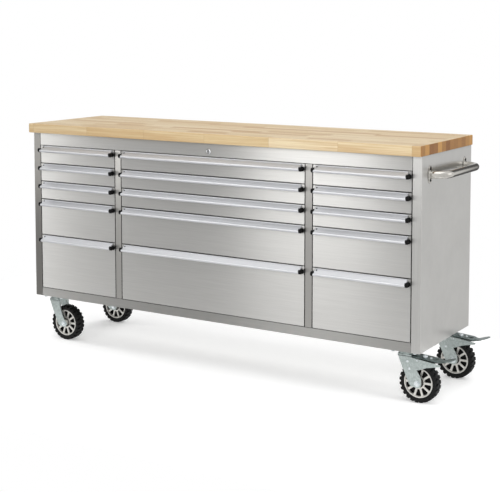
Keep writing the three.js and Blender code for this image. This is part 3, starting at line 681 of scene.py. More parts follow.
def tyre_rubber():
    """Vulcanised rubber: matt black, with the slight bloom of a new tyre."""
    base = bpy.context.scene.chest_colours.rubber
    return moulded("moulded_black_rubber", base, 0.6, 0.9 * MM, 0.35, variation=0.3, sheen=0.2)


def cap_plastic():
    """Injection-moulded polyamide: black, with a fine spark-eroded grain."""
    base = bpy.context.scene.chest_colours.cap
    return moulded("moulded_black_polyamide", base, 0.5, 0.7 * MM, 0.2, sheen=0.15)


def core_plastic():
    """Injection-moulded polypropylene: plain black behind the spokes."""
    base = bpy.context.scene.chest_colours.core
    return moulded("moulded_black_polypropylene", base, 0.6, 1 * MM, 0.2, sheen=0.2)


def rim_lacquer():
    """Silver lacquer with metal flake: bright, slightly grainy, softly glossy."""
    base = bpy.context.scene.chest_colours.rim
    return moulded(
        "silver_flake_lacquer", base, 0.34, 0.8 * MM, 0.1, metallic=0.75, variation=0.06
    )


def staves(tree, place):
    """Where a point lies in the wood's rows and staves, and what chance gives each of them."""
    sizes = bpy.context.scene.chest_sizes
    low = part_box("worktop")[0]
    axes = add_node(tree, "SeparateXYZ", {0: place}).node.outputs
    from_edge = add_node(tree, "Math", {0: axes["Y"], 1: low.y - MM}, operation="SUBTRACT")
    across = add_node(tree, "Math", {0: from_edge, 1: sizes.stave_width}, operation="DIVIDE")
    row = add_node(tree, "Math", {0: across}, operation="FLOOR")
    row_chance = add_node(tree, "TexWhiteNoise", {"W": row}, noise_dimensions="1D")
    # A row's staves are 0.55 to 1.55 times the mean length, and each row starts somewhere else
    longer = add_node(tree, "Math", {0: row_chance, 1: 0.55}, operation="ADD")
    stave = add_node(tree, "Math", {0: longer, 1: sizes.stave_length}, operation="MULTIPLY")
    start = add_node(tree, "Math", {0: row_chance, 1: 9.7, 2: axes["X"]}, operation="MULTIPLY_ADD")
    along = add_node(tree, "Math", {0: start, 1: stave}, operation="DIVIDE")
    in_row = add_node(tree, "Math", {0: along}, operation="FLOOR")
    name = add_node(tree, "CombineXYZ", {"X": row, "Y": in_row})
    chance = add_node(tree, "TexWhiteNoise", {"Vector": name})
    return axes, across, row, row_chance, stave, along, chance


def butcher_block():
    """Rubberwood staves, glued edge to edge and end to end, sanded and lacquered to a satin."""
    colours = bpy.context.scene.chest_colours
    sizes = bpy.context.scene.chest_sizes
    material, tree, shader, place = blank_material("satin_lacquered_rubberwood")
    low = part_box("worktop")[0]
    axes, across, row, row_chance, stave, along, chance = staves(tree, place)
    x, y, z = axes["X"], axes["Y"], axes["Z"]
    tan = (*colours.maple_tan, 1)

    # Long grain: lines a few millimetres apart that run most of a stave's length.
    moved = add_node(tree, "Math", {0: chance, 1: 7, 2: x}, operation="MULTIPLY_ADD")
    shifted = add_node(tree, "CombineXYZ", {"X": moved, "Y": y, "Z": z})
    line = 1 / sizes.grain
    mapped = add_node(tree, "Mapping", {"Vector": shifted, "Scale": (line / 45, line, line)})
    grain = add_node(tree, "TexNoise", {
        "Vector": mapped, "Scale": 1, "Detail": 6, "Roughness": 0.6, "Distortion": 0.4})
    broad = add_node(tree, "TexNoise", {
        "Vector": mapped, "Scale": 0.35, "Detail": 3, "Roughness": 0.5})
    base = add_node(tree, "ValToRGB", {"Fac": chance}, stops=[
        (0, colours.maple_tan), (0.12, colours.maple), (0.35, colours.maple_pale),
        (0.5, colours.maple), (0.75, colours.maple_pale), (0.88, colours.maple),
        (1, colours.maple_tan)])
    lines = add_node(tree, "MapRange", {
        "Value": grain, "From Min": 0.42, "From Max": 0.68, "To Min": 0, "To Max": 0.5})
    grained = add_node(tree, "Mix", {0: lines, 6: base, 7: tan}, output=2, data_type="RGBA")
    patches = add_node(tree, "MapRange", {
        "Value": broad, "From Min": 0.42, "From Max": 0.66, "To Min": 0, "To Max": 0.5})
    long_grain = add_node(tree, "Mix", {0: patches, 6: grained, 7: tan}, output=2, data_type="RGBA")

    # End grain: rings about a pith that lies off each stave.
    within = add_node(tree, "Math", {0: across}, operation="FRACT")
    beside = add_node(tree, "Math", {0: within, 1: row_chance}, operation="SUBTRACT")
    aside = add_node(tree, "Math", {0: beside, 1: sizes.stave_width}, operation="MULTIPLY")
    pith = add_node(tree, "Math", {
        0: row_chance, 1: 0.05, 2: low.z - 0.02}, operation="MULTIPLY_ADD")
    above = add_node(tree, "Math", {0: z, 1: pith}, operation="SUBTRACT")
    apart = add_node(tree, "Math", {0: row, 1: 0.37}, operation="MULTIPLY")
    turned = add_node(tree, "CombineXYZ", {"X": aside, "Y": above, "Z": apart})
    rings = add_node(tree, "TexWave", {
        "Vector": turned, "Scale": 0.31 / sizes.ring, "Distortion": 1.2, "Detail": 2,
        "Detail Scale": 1.5},
        output="Fac", wave_type="RINGS", rings_direction="Z", wave_profile="SAW")
    ring_tone = add_node(tree, "MapRange", {
        "Value": rings, "From Min": 0, "From Max": 1, "To Min": 0, "To Max": 0.45})
    mottled = add_node(tree, "Math", {0: ring_tone, 1: row_chance}, operation="ADD")
    darker = add_node(tree, "Math", {0: mottled, 1: 0.7}, operation="MULTIPLY")
    end_dark = (*colours.end_grain_dark, 1)
    ends = add_node(tree, "Mix", {
        0: darker, 6: (*colours.end_grain, 1), 7: end_dark}, output=2, data_type="RGBA")
    normal = add_node(tree, "TexCoord", output="Normal")
    facing = add_node(tree, "SeparateXYZ", {0: normal}, output="X")
    sideways = add_node(tree, "Math", {0: facing}, operation="ABSOLUTE")
    is_end = add_node(tree, "Math", {0: sideways, 1: 0.7}, operation="GREATER_THAN")
    wood = add_node(tree, "Mix", {0: is_end, 6: long_grain, 7: ends}, output=2, data_type="RGBA")

    # Glue lines, about a millimetre wide.
    glue = 1.1 * MM
    side_share = add_node(tree, "Math", {0: across, 1: 0.5}, operation="PINGPONG")
    side_gap = add_node(tree, "Math", {0: side_share, 1: sizes.stave_width}, operation="MULTIPLY")
    end_share = add_node(tree, "Math", {0: along, 1: 0.5}, operation="PINGPONG")
    end_gap = add_node(tree, "Math", {0: end_share, 1: stave, 2: is_end}, operation="MULTIPLY_ADD")
    nearest = add_node(tree, "Math", {0: side_gap, 1: end_gap}, operation="MINIMUM")
    seam = add_node(tree, "Math", {0: nearest, 1: glue / 2}, operation="LESS_THAN")
    faint = add_node(tree, "Math", {0: seam, 1: 0.35}, operation="MULTIPLY")
    joined = add_node(tree, "Mix", {0: faint, 6: wood, 7: end_dark}, output=2, data_type="RGBA")
    gloss = add_node(tree, "MapRange", {
        "Value": grain, "From Min": 0.3, "From Max": 0.7, "To Min": 0.36, "To Max": 0.5})
    bump = add_node(tree, "Bump", {"Height": grain, "Strength": 0.12, "Distance": 0.2 * MM})
    connect(tree, shader, {"Base Color": joined, "Roughness": gloss, "Normal": bump})
    return material


# ---- operators --------------------------------------------------------------------------------


class CHEST_OT_carcass(bpy.types.Operator):
    """Finish the folded steel carcass and rivet its back on"""

    bl_idname = "chest.carcass"
    bl_label = "Carcass"

    def execute(self, context):
        sizes = context.scene.chest_sizes
        colours = context.scene.chest_colours
        lengthwise = brushed_stainless("brushed_stainless_lengthwise")
        upright = brushed_stainless("brushed_stainless_upright", upright=True)
        # The posts take a darker copy of the steel, which is painted shade
        posts = brushed_stainless("brushed_stainless_posts", colours.post, upright=True)
        # The left end panel takes a darker copy of the steel, which is painted shade
        shaded = brushed_stainless("brushed_stainless_far_end", colours.far_end, upright=True)
        # The base pan takes a darker copy of the steel, which is painted shade
        base = brushed_stainless("brushed_stainless_base", colours.base)
        for material, nodes in (
            (lengthwise, ("header_rail", "back_panel")),
            (base, ("base_pan",)),
            (upright, ("right_side_panel",)),
            (posts, ("left_divider", "right_divider")),
            (shaded, ("left_side_panel",)),
        ):
            for node in nodes:
                dress(node, material, sizes.fold)
        low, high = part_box("back_panel")
        bm = bmesh.new()
        inset, pitch = 12 * MM, 230 * MM
        count = round((high.x - low.x - 2 * inset) / pitch)
        step = (high.x - low.x - 2 * inset) / count
        outward = Matrix.Rotation(math.radians(-90), 4, "X")
        spots = [(low.x + inset + i * step, z) for i in range(count + 1)
                 for z in (low.z + inset, high.z - inset)]
        spots += [(x, low.z + (high.z - low.z) * k / 4) for x in (low.x + inset, high.x - inset)
                  for k in (1, 2, 3)]
        for x, z in spots:
            round_head(bm, 3.2 * MM, 1.3 * MM, outward, (x, high.y, z))
        rivets = to_mesh(bm, "back_rivets", bright_fastener())
        add_piece("back_rivets", rivets, (0, 0, 0), "chest")
        return {"FINISHED"}


class CHEST_OT_worktop(bpy.types.Operator):
    """Finish the butcher-block worktop"""

    bl_idname = "chest.worktop"
    bl_label = "Worktop"

    def execute(self, context):
        dress("worktop", butcher_block(), 0.8 * MM)
        return {"FINISHED"}


class CHEST_OT_drawers(bpy.types.Operator):
    """Finish the drawers"""

    bl_idname = "chest.drawers"
    bl_label = "Drawers"

    def execute(self, context):
        sizes = context.scene.chest_sizes
        steel = brushed_stainless("brushed_stainless_drawer")
        for column in COLUMNS:
            for row in ROWS:
                dress(f"drawer_{column}_{row}", steel, sizes.fold)
        return {"FINISHED"}


class CHEST_OT_drawer_handles(bpy.types.Operator):
    """Build the extruded handle rails and their end caps"""

    bl_idname = "chest.drawer_handles"
    bl_label = "Drawer handles"

    def rail_section(self, sizes, height):
        """Section as (Y, Z) from the rail's top rear edge: strip, groove, slope and hooked grip."""
        grip = Vector((sizes.grip_reach, -sizes.grip_drop))
        foot = Vector((sizes.rail_foot, -sizes.rail_ledge - 0.4 * MM))
        fall = math.tan(sizes.rail_slope)
        # Height of the slope's line above the grip's centre, square to the slope
        above = (foot.y - grip.y - fall * (grip.x - foot.x)) * math.cos(sizes.rail_slope)
        inner_radius = sizes.grip_radius - sizes.rail_skin

        def meeting(radius, height):
            return 180 - math.degrees(sizes.rail_slope + math.asin(height / radius))

        outer = arc(grip, sizes.grip_radius, meeting(sizes.grip_radius, above), -140, 22)
        inner = arc(grip, inner_radius, -140, meeting(inner_radius, above - sizes.rail_skin), 14)
        lip = (Vector(outer[-1]) + Vector(inner[0])) / 2 + Vector((-0.5, 0.4)) * MM
        underside = inner[-1][1] + (inner[-1][0] - foot.x) * fall
        # The strip starts a little below the top, beside the front's rolled edge
        top, rear_edge, front_edge = 1.4 * MM, 0.4 * MM, 0.5 * MM
        groove, ledge = foot.x - 0.9 * MM, sizes.rail_ledge
        points = [
            (0, -height), (0, -top - rear_edge), (rear_edge, -top), (foot.x - front_edge, -top),
            (foot.x, -top - front_edge), (foot.x, -ledge), (groove, -ledge - 0.1 * MM),
            (groove, -ledge - 0.8 * MM), *outer, lip, *inner, (foot.x, underside),
            (foot.x, -height),
        ]
        return [(-out, up) for out, up in points]

    def cap_section(self, sizes, grow=0.0):
        """Outline of an end cap, as (Y, Z): two upright ovals with a neck between them."""
        deep, tall = sizes.cap_depth + grow, sizes.cap_height + grow
        notch = math.degrees(math.asin((sizes.cap_neck + grow) / tall))
        front = arc((0, 0), 1, 180 - notch, notch - 180, 18)
        rear = arc((0, 0), 1, -notch, notch - 360, 18)
        points = [(sizes.cap_reach + deep * x, tall * y) for x, y in front]
        points += [(sizes.cap_depth + deep * x, tall * y) for x, y in rear]
        return [(-out, up - sizes.cap_drop) for out, up in points]

    def cap(self, bm, sizes, x, outward):
        """An end cap with a shallow hollow in its outer face."""
        rim, edge, well = (self.cap_section(sizes, -inset * MM) for inset in (0, 0.9, 2.4))
        end = sizes.cap_length
        loops = [(rim, 0), (rim, end - 1 * MM), (edge, end), (well, end), (well, end - 0.9 * MM)]
        skin(bm, [[bm.verts.new((x + outward * depth, *p)) for p in loop] for loop, depth in loops])

    def execute(self, context):
        sizes = context.scene.chest_sizes
        aluminium, plastic = anodised_aluminium(), cap_plastic()
        meshes = {}
        for column in COLUMNS:
            for row in ROWS:
                node = f"handle_{column}_{row}"
                low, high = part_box(node)
                half = (high.x - low.x) / 2
                kind = "wide" if column == "centre" else "narrow"
                if kind not in meshes:
                    bm = bmesh.new()
                    inside = half - sizes.cap_length + 1 * MM
                    profile_x(bm, self.rail_section(sizes, high.z - low.z), -inside, inside)
                    rail = to_mesh(bm, f"rail_{kind}", aluminium)
                    bm = bmesh.new()
                    self.cap(bm, sizes, half - sizes.cap_length, 1)
                    self.cap(bm, sizes, sizes.cap_length - half, -1)
                    # Dark screw head on the rail's slope, beside the left cap
                    turn = Matrix.Rotation(sizes.rail_slope, 4, "X")
                    spot = (sizes.cap_length + 6 * MM - half, -6.5 * MM, -7.1 * MM)
                    round_head(bm, 3 * MM, 0.8 * MM, turn, spot)
                    meshes[kind] = rail, to_mesh(bm, f"caps_{kind}", plastic)
                place = ((low.x + high.x) / 2, high.y, high.z)
                body = f"drawer_{column}_{row}"
                rail, caps = meshes[kind]
                add_piece(f"rail_{column}_{row}", rail, place, body, [node])
                add_piece(f"end_caps_{column}_{row}", caps, place, body, [node])
        return {"FINISHED"}


class CHEST_OT_lock(bpy.types.Operator):
    """Build the lock's bezel, barrel and plug"""

    bl_idname = "chest.lock"
    bl_label = "Lock"

    def execute(self, context):
        sizes = context.scene.chest_sizes
        chrome = lock_chrome()
        centre = middle("lock_housing")
        low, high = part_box("lock_housing")
        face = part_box("header_rail")[0].y
        front = low.y - face
        bore = sizes.plug_radius + FIT
        bm = bmesh.new()
        edge = sizes.bezel_radius
        lathe(bm, [
            (bore, front + 0.6 * MM), (bore + 0.6 * MM, front), (edge - 2.2 * MM, front),
            (edge - 0.8 * MM, front + 0.5 * MM), (edge, front + 1.6 * MM), (edge, -FIT),
            (9 * MM, -FIT), (9 * MM, 1.8 * MM), (13 * MM, 1.8 * MM), (13 * MM, 5.8 * MM),
            (9 * MM, 5.8 * MM), (9 * MM, high.y - face), (bore, high.y - face),
        ], 64, ALONG_Y, closed=True)
        housing = to_mesh(bm, "lock_bezel", chrome)
        place = (centre.x, face, centre.z)
        add_piece("lock_bezel", housing, place, "chest", ["lock_housing"])
        bm = bmesh.new()
        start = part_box("lock_plug")[0].y - face
        circle = arc((0, 0), sizes.plug_radius, 0, 360, 48)[:-1]
        half_slot, slot = 0.9 * MM, 4 * MM
        keyway = [(-half_slot, -slot), (half_slot, -slot), (half_slot, slot), (-half_slot, slot)]
        pierced(bm, circle, [keyway], 6 * MM)
        move = Matrix.Translation((0, start, 0)) @ ALONG_Y
        bmesh.ops.transform(bm, matrix=move, verts=bm.verts)
        lathe(bm, [(sizes.plug_radius, start + 6 * MM), (sizes.plug_radius, 23 * MM)], 48, ALONG_Y)
        cam = arc((0, 0), 6 * MM, 90, 270, 12) + arc((18 * MM, 0), 6 * MM, -90, 90, 12)
        profile_y(bm, cam, 20.3 * MM, 22.3 * MM)
        plug = to_mesh(bm, "lock_plug_turned", chrome)
        add_piece("lock_plug_turned", plug, place, "lock_plug", ["lock_plug"])
        return {"FINISHED"}


class CHEST_OT_push_handle(bpy.types.Operator):
    """Build the bent push handle, its flanges and their screws"""

    bl_idname = "chest.push_handle"
    bl_label = "Push handle"

    def execute(self, context):
        sizes = context.scene.chest_sizes
        low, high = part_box("push_handle")
        centre = (low + high) / 2
        reach = high.x - low.x - sizes.tube_radius
        tip = (high.y - low.y - sizes.flange_width) / 2
        bend = sizes.tube_bend
        route = [(0, -tip)]
        route += arc((reach - bend, bend - tip), bend, -90, 0, 14)
        route += arc((reach - bend, tip - bend), bend, 0, 90, 14)
        route += [(0, tip)]
        bm = bmesh.new()
        tube(bm, [(x, y, 0) for x, y in route], sizes.tube_radius)
        steel = polished_tube()
        bar = to_mesh(bm, "push_bar", steel)
        place = (low.x, centre.y, centre.z)
        add_piece("push_bar", bar, place, "chest", ["push_handle"])
        oval = [(sizes.flange_width / 2 * math.cos(a), sizes.flange_height / 2 * math.sin(a))
                for a in (2 * math.pi * i / 48 for i in range(48))]
        bm = bmesh.new()
        for side in (-1, 1):
            profile_x(bm, oval, 0, sizes.flange_thickness, (0, side * tip, 0))
            # Weld bead round the tube.
            root, face = sizes.tube_radius, sizes.flange_thickness
            lathe(bm, [
                (root - 1 * MM, face), (root + 2.4 * MM, face), (root + 1 * MM, face + 0.9 * MM),
                (root, face + 2.4 * MM), (root - 1 * MM, face + 2.4 * MM),
            ], 40, ALONG_X, (0, side * tip, 0), closed=True)
        flanges = to_mesh(bm, "push_flanges", steel)
        piece = add_piece(
            "push_flanges", flanges, place, "chest", ["push_handle"]
        )
        bevel(piece, 0.7 * MM)
        bm = bmesh.new()
        for side in (-1, 1):
            for lift in (-1, 1):
                spot = (sizes.flange_thickness, side * tip, lift * sizes.flange_screw)
                round_head(bm, 5 * MM, 3 * MM, ALONG_X, spot)
        screws = to_mesh(bm, "push_screws", black_screw())
        add_piece("push_screws", screws, place, "chest")
        return {"FINISHED"}


class CHEST_OT_caster_plates(bpy.types.Operator):
    """Build the casters' top plates, races and bolts"""

    bl_idname = "chest.caster_plates"
    bl_label = "Caster plates"

    def execute(self, context):
        sizes = context.scene.chest_sizes
        zinc, fastener = zinc_plate(), bright_fastener()
        low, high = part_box("caster_plate_front_left")
        half_x, half_y = (high.x - low.x) / 2, (high.y - low.y) / 2
        fork_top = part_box("fork_front_left")[1].z
        plate, round_off = 4 * MM, 10 * MM
        depth = high.z - low.z
        corners = ((-half_x, -half_y), (half_x, -half_y), (half_x, half_y), (-half_x, half_y))
        outline = rounded([(x, y, round_off) for x, y in corners])
        bm = bmesh.new()
        prism(bm, outline, -plate, 0)
        top, race = -plate, sizes.race_radius
        race_bottom = fork_top + FIT - high.z
        lathe(bm, [
            (0.5 * MM, race_bottom), (race - 1 * MM, race_bottom), (race, race_bottom + 1 * MM),
            (race, race_bottom + 3.4 * MM), (race - 1.2 * MM, race_bottom + 4 * MM),
            (race - 1.2 * MM, race_bottom + 5 * MM), (race + 1 * MM, race_bottom + 5.6 * MM),
            (race + 3 * MM, race_bottom + 8 * MM), (race + 3 * MM, top - 1 * MM),
            (race + 2 * MM, top + 0.5 * MM), (0.5 * MM, top + 0.5 * MM),
        ], 56)
        plate_mesh = to_mesh(bm, "caster_plate", zinc)
        bm = bmesh.new()
        down = Matrix.Rotation(math.radians(180), 4, "X")
        for side_x in (-1, 1):
            for side_y in (-1, 1):
                spot = (side_x * (half_x - 14 * MM), side_y * (half_y - 13 * MM), -plate)
                lathe(bm, [(9 * MM, 0), (9 * MM, 1.4 * MM)], 28, down, spot)
                hex_head(bm, 7 * MM, 5 * MM, down, (spot[0], spot[1], -plate - 1.4 * MM))
        # Kingpin with its nut under the fork.
        pin = [(8 * MM, 0), (8 * MM, depth + race_bottom - 7 * MM)]
        lathe(bm, pin, 32, down, (0, 0, race_bottom + 0.5 * MM))
        hex_head(bm, 13 * MM, 6.5 * MM, ALONG_Z, (0, 0, -depth))
        bolts = to_mesh(bm, "caster_bolts", fastener)
        for corner in CORNERS:
            node = f"caster_plate_{corner}"
            low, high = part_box(node)
            place = ((low.x + high.x) / 2, (low.y + high.y) / 2, high.z)
            name = f"top_plate_{corner}"
            bevel(add_piece(name, plate_mesh, place, "chest", [node]), 0.5 * MM)
            add_piece(f"plate_bolts_{corner}", bolts, place, "chest", [node])
        return {"FINISHED"}


class CHEST_OT_forks(bpy.types.Operator):
    """Build the pressed forks with their axle bolts and rivets"""

    bl_idname = "chest.forks"
    bl_label = "Forks"

    def hung(self, rows, head_bottom):
        """Corners given from the fork's head, as (X, Z, rounding) corners above the floor."""
        return [(x, head_bottom - depth, radius) for x, depth, radius in in_metres(rows)]

    def shell(self, sizes, top):
        """Section of the head, as (Y, Z): a sheet rolled down on both sides."""
        outside, bend = sizes.fork_inside / 2 + sizes.fork_sheet, sizes.fork_bend
        flat, inner = outside - bend, bend - sizes.fork_sheet
        skirt = top - bend - sizes.fork_sheet
        section = [(-outside, skirt)] + arc((-flat, top - bend), bend, 180, 90, 8)
        section += arc((flat, top - bend), bend, 90, 0, 8)
        section += [(outside, skirt), (outside - sizes.fork_sheet, skirt)]
        section += arc((flat, top - bend), inner, 0, 90, 5)
        section += arc((-flat, top - bend), inner, 90, 180, 5)
        return section + [(sizes.fork_sheet - outside, skirt)]

    def flange(self, bm, sizes, head_bottom, side):
        """Sheet folded in along the front of a leg, narrower beside the tyre."""
        rings = []
        for x, depth, width in in_metres(LEG_FLANGE):
            corners = ((x, 0), (x, width), (x - sizes.fork_sheet, width), (x - sizes.fork_sheet, 0))
            root = sizes.fork_inside / 2
            rings.append([bm.verts.new((cx, side * (root - inward), head_bottom - depth))
                          for cx, inward in corners])
        skin(bm, rings)

    def build(self, sizes, braked, node, material):
        plate = middle(node.replace("fork", "caster_plate"))
        wheel = middle(node.replace("fork", "rim"))
        top, trail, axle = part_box(node)[1].z, wheel.x - plate.x, wheel.z
        head, inside = sizes.fork_head, sizes.fork_inside / 2
        outside = inside + sizes.fork_sheet
        head_bottom, leg_top = top - sizes.fork_sheet, top - sizes.fork_bend
        bm = bmesh.new()
        profile_x(bm, self.shell(sizes, top), -head, head)
        foot = arc((trail, axle), sizes.fork_foot, 240, 372, 24)
        front = BRAKED_LEG_FRONT if braked else PLAIN_LEG_FRONT
        outline = rounded(
            [(head, leg_top, 0), (-head, leg_top, 0), *self.hung(LEG_BACK, head_bottom),
             *((x, z, 0) for x, z in foot), *self.hung(front, head_bottom)]
        )
        for side in (-1, 1):
            profile_y(bm, outline, *sorted((side * inside, side * outside)))
            if braked:
                guard = rounded(self.hung(GUARD, head_bottom))
                face = outside + sizes.guard_sheet
                profile_y(bm, guard, *sorted((side * outside, side * face)))
            else:
                self.flange(bm, sizes, head_bottom, side)
        bore, race, edge = sizes.race_radius - 25 * MM, sizes.race_radius, 1 * MM
        lathe(bm, [(bore, head_bottom), (race, head_bottom), (race, top - edge),
                   (race - edge, top), (bore, top)], 56, closed=True)
        mesh = to_mesh(bm, f"fork_{'braked' if braked else 'plain'}", material)
        return mesh, (trail, axle, head_bottom)

    def fasteners(self, sizes, braked, spots, material):
        trail, axle, head_bottom = spots
        outside = sizes.fork_inside / 2 + sizes.fork_sheet
        face = outside + sizes.guard_sheet
        pin = (sizes.pin_reach, head_bottom - sizes.pin_drop)
        washer, washer_height = 11 * MM, 1.2 * MM
        bm = bmesh.new()
        for side in (-1, 1):
            turn = Matrix.Rotation(math.radians(-90 * side), 4, "X")
            spot = (trail, side * outside, axle)
            lathe(bm, [(washer, 0), (washer, washer_height)], 32, turn, spot)
            nut = (trail, side * (outside + washer_height), axle)
            hex_head(bm, sizes.axle_head, 4.6 * MM, turn, nut)
            if braked:
                rivets = [(*pin, 5.4 * MM)]
                rivets += [(x, head_bottom - depth, r) for x, depth, r in in_metres(GUARD_RIVETS)]
                for x, z, radius in rivets:
                    round_head(bm, radius, 1.9 * MM, turn, (x, side * face, z))
        lathe(bm, [(6 * MM, -outside), (6 * MM, outside)], 24, ALONG_Y, (trail, 0, axle))
        if braked:
            radius = sizes.pin_radius
            lathe(bm, [(radius, -outside), (radius, outside)], 20, ALONG_Y, (pin[0], 0, pin[1]))
        return to_mesh(bm, f"fork_fasteners_{'braked' if braked else 'plain'}", material)

    def execute(self, context):
        sizes = context.scene.chest_sizes
        zinc, fastener = zinc_plate(), bright_fastener()
        for braked in (False, True):
            group = [c for c in CORNERS if (c in BRAKED) == braked]
            mesh, spots = self.build(sizes, braked, f"fork_{group[0]}", zinc)
            bolts = self.fasteners(sizes, braked, spots, fastener)
            for corner in group:
                centre = middle(f"caster_plate_{corner}")
                place = (centre.x, centre.y, 0)
                body, node = f"caster_{corner}", f"fork_{corner}"
                piece = add_piece(f"pressed_fork_{corner}", mesh, place, body, [node])
                bevel(piece, 0.7 * MM)
                add_piece(f"fork_bolts_{corner}", bolts, place, body, [node])
        return {"FINISHED"}


class CHEST_OT_brakes(bpy.types.Operator):
    """Build the brake pedals with their embossed grips and slots"""

    bl_idname = "chest.brakes"
    bl_label = "Brake pedals"

    def height(self, sizes, start, top, x):
        """Height of the pedal's top face: down to the bend, then up along the toe."""
        knee = 16 * MM
        fall, rise = math.tan(sizes.pedal_slope), math.tan(sizes.toe_slope)
        past = x - sizes.pedal_bend
        t = min(max(past / knee + 0.5, 0), 1)
        turned = knee * t * t / 2 + max(past - knee / 2, 0)
        return top - fall * (x - start) + (fall + rise) * turned

    def execute(self, context):
        sizes = context.scene.chest_sizes
        material = passivated_pedal()
        low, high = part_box("brake_pedal_front_right")
        centre = middle("caster_plate_front_right")
        head_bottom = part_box("fork_front_right")[1].z - sizes.fork_sheet
        pin = (sizes.pin_reach, head_bottom - sizes.pin_drop)
        start, end = 16 * MM, high.x - centre.x
        half, sheet = (high.y - low.y) / 2, sizes.pedal_sheet
        bend, neck, toe = sizes.pedal_bend, sizes.pedal_neck, sizes.pedal_toe
        top = head_bottom - sizes.pedal_space
        near = [(start, -half, 3 * MM)]
        near += [(bend + x, -width, radius) for (x, radius), width in zip(
            in_metres(PEDAL_SIDE), (half, neck, neck, toe))]
        near += [(end - 10 * MM, 2 * MM - toe, 12 * MM), (end, 16 * MM - toe, 14 * MM)]
        far = [(x, -y, radius) for x, y, radius in reversed(near)]
        outline = rounded(near + far, 6)
        near_end, far_end, across = (size * MM for size in PEDAL_SLOT)
        corners = ((near_end, -across), (far_end, -across), (far_end, across), (near_end, across))
        slot = rounded([(bend + x, y, across) for x, y in corners])
        bm = bmesh.new()
        pierced(bm, outline, [slot], sheet)
        cuts = 36
        for step in range(1, cuts):
            x = start + (end - start) * step / cuts
            geometry = list(bm.verts) + list(bm.edges) + list(bm.faces)
            bmesh.ops.bisect_plane(bm, geom=geometry, plane_co=(x, 0, 0), plane_no=(1, 0, 0))
        for v in bm.verts:
            v.co.z += self.height(sizes, start, top, v.co.x) - sheet
        # Lugs on the fork's pin.
        lug_end = 36 * MM
        lug = [(start, self.height(sizes, start, top, start) - sheet / 2)]
        lug += arc(pin, 7 * MM, 180, 360, 16)
        lug += [(lug_end, self.height(sizes, start, top, lug_end) - sheet / 2)]
        for side in (-1, 1):
            profile_y(bm, lug, *sorted((side * half, side * (half - sheet))))
        mesh = to_mesh(bm, "pedal", material)
        bm = bmesh.new()
        # The studs take bright zinc on the dark pedal: painted highlight
        for x, radius, tall, dish in PEDAL_STUDS:
            foot = self.height(sizes, start, top, x * MM) - 0.4 * MM
            ring = STUD_RING + ((0.52, dish), (0.1, dish))
            profile = in_metres((radius * share, tall * up) for share, up in ring)
            lathe(bm, profile, 32, ALONG_Z, (x * MM, 0, foot))
        studs = to_mesh(bm, "pedal_studs", bright_fastener())
        for corner in BRAKED:
            centre = middle(f"caster_plate_{corner}")
            place, body, node = (centre.x, centre.y, 0), f"brake_{corner}", f"brake_pedal_{corner}"
            add_piece(f"pedal_{corner}", mesh, place, body, [node])
            add_piece(f"pedal_studs_{corner}", studs, place, body)
        return {"FINISHED"}


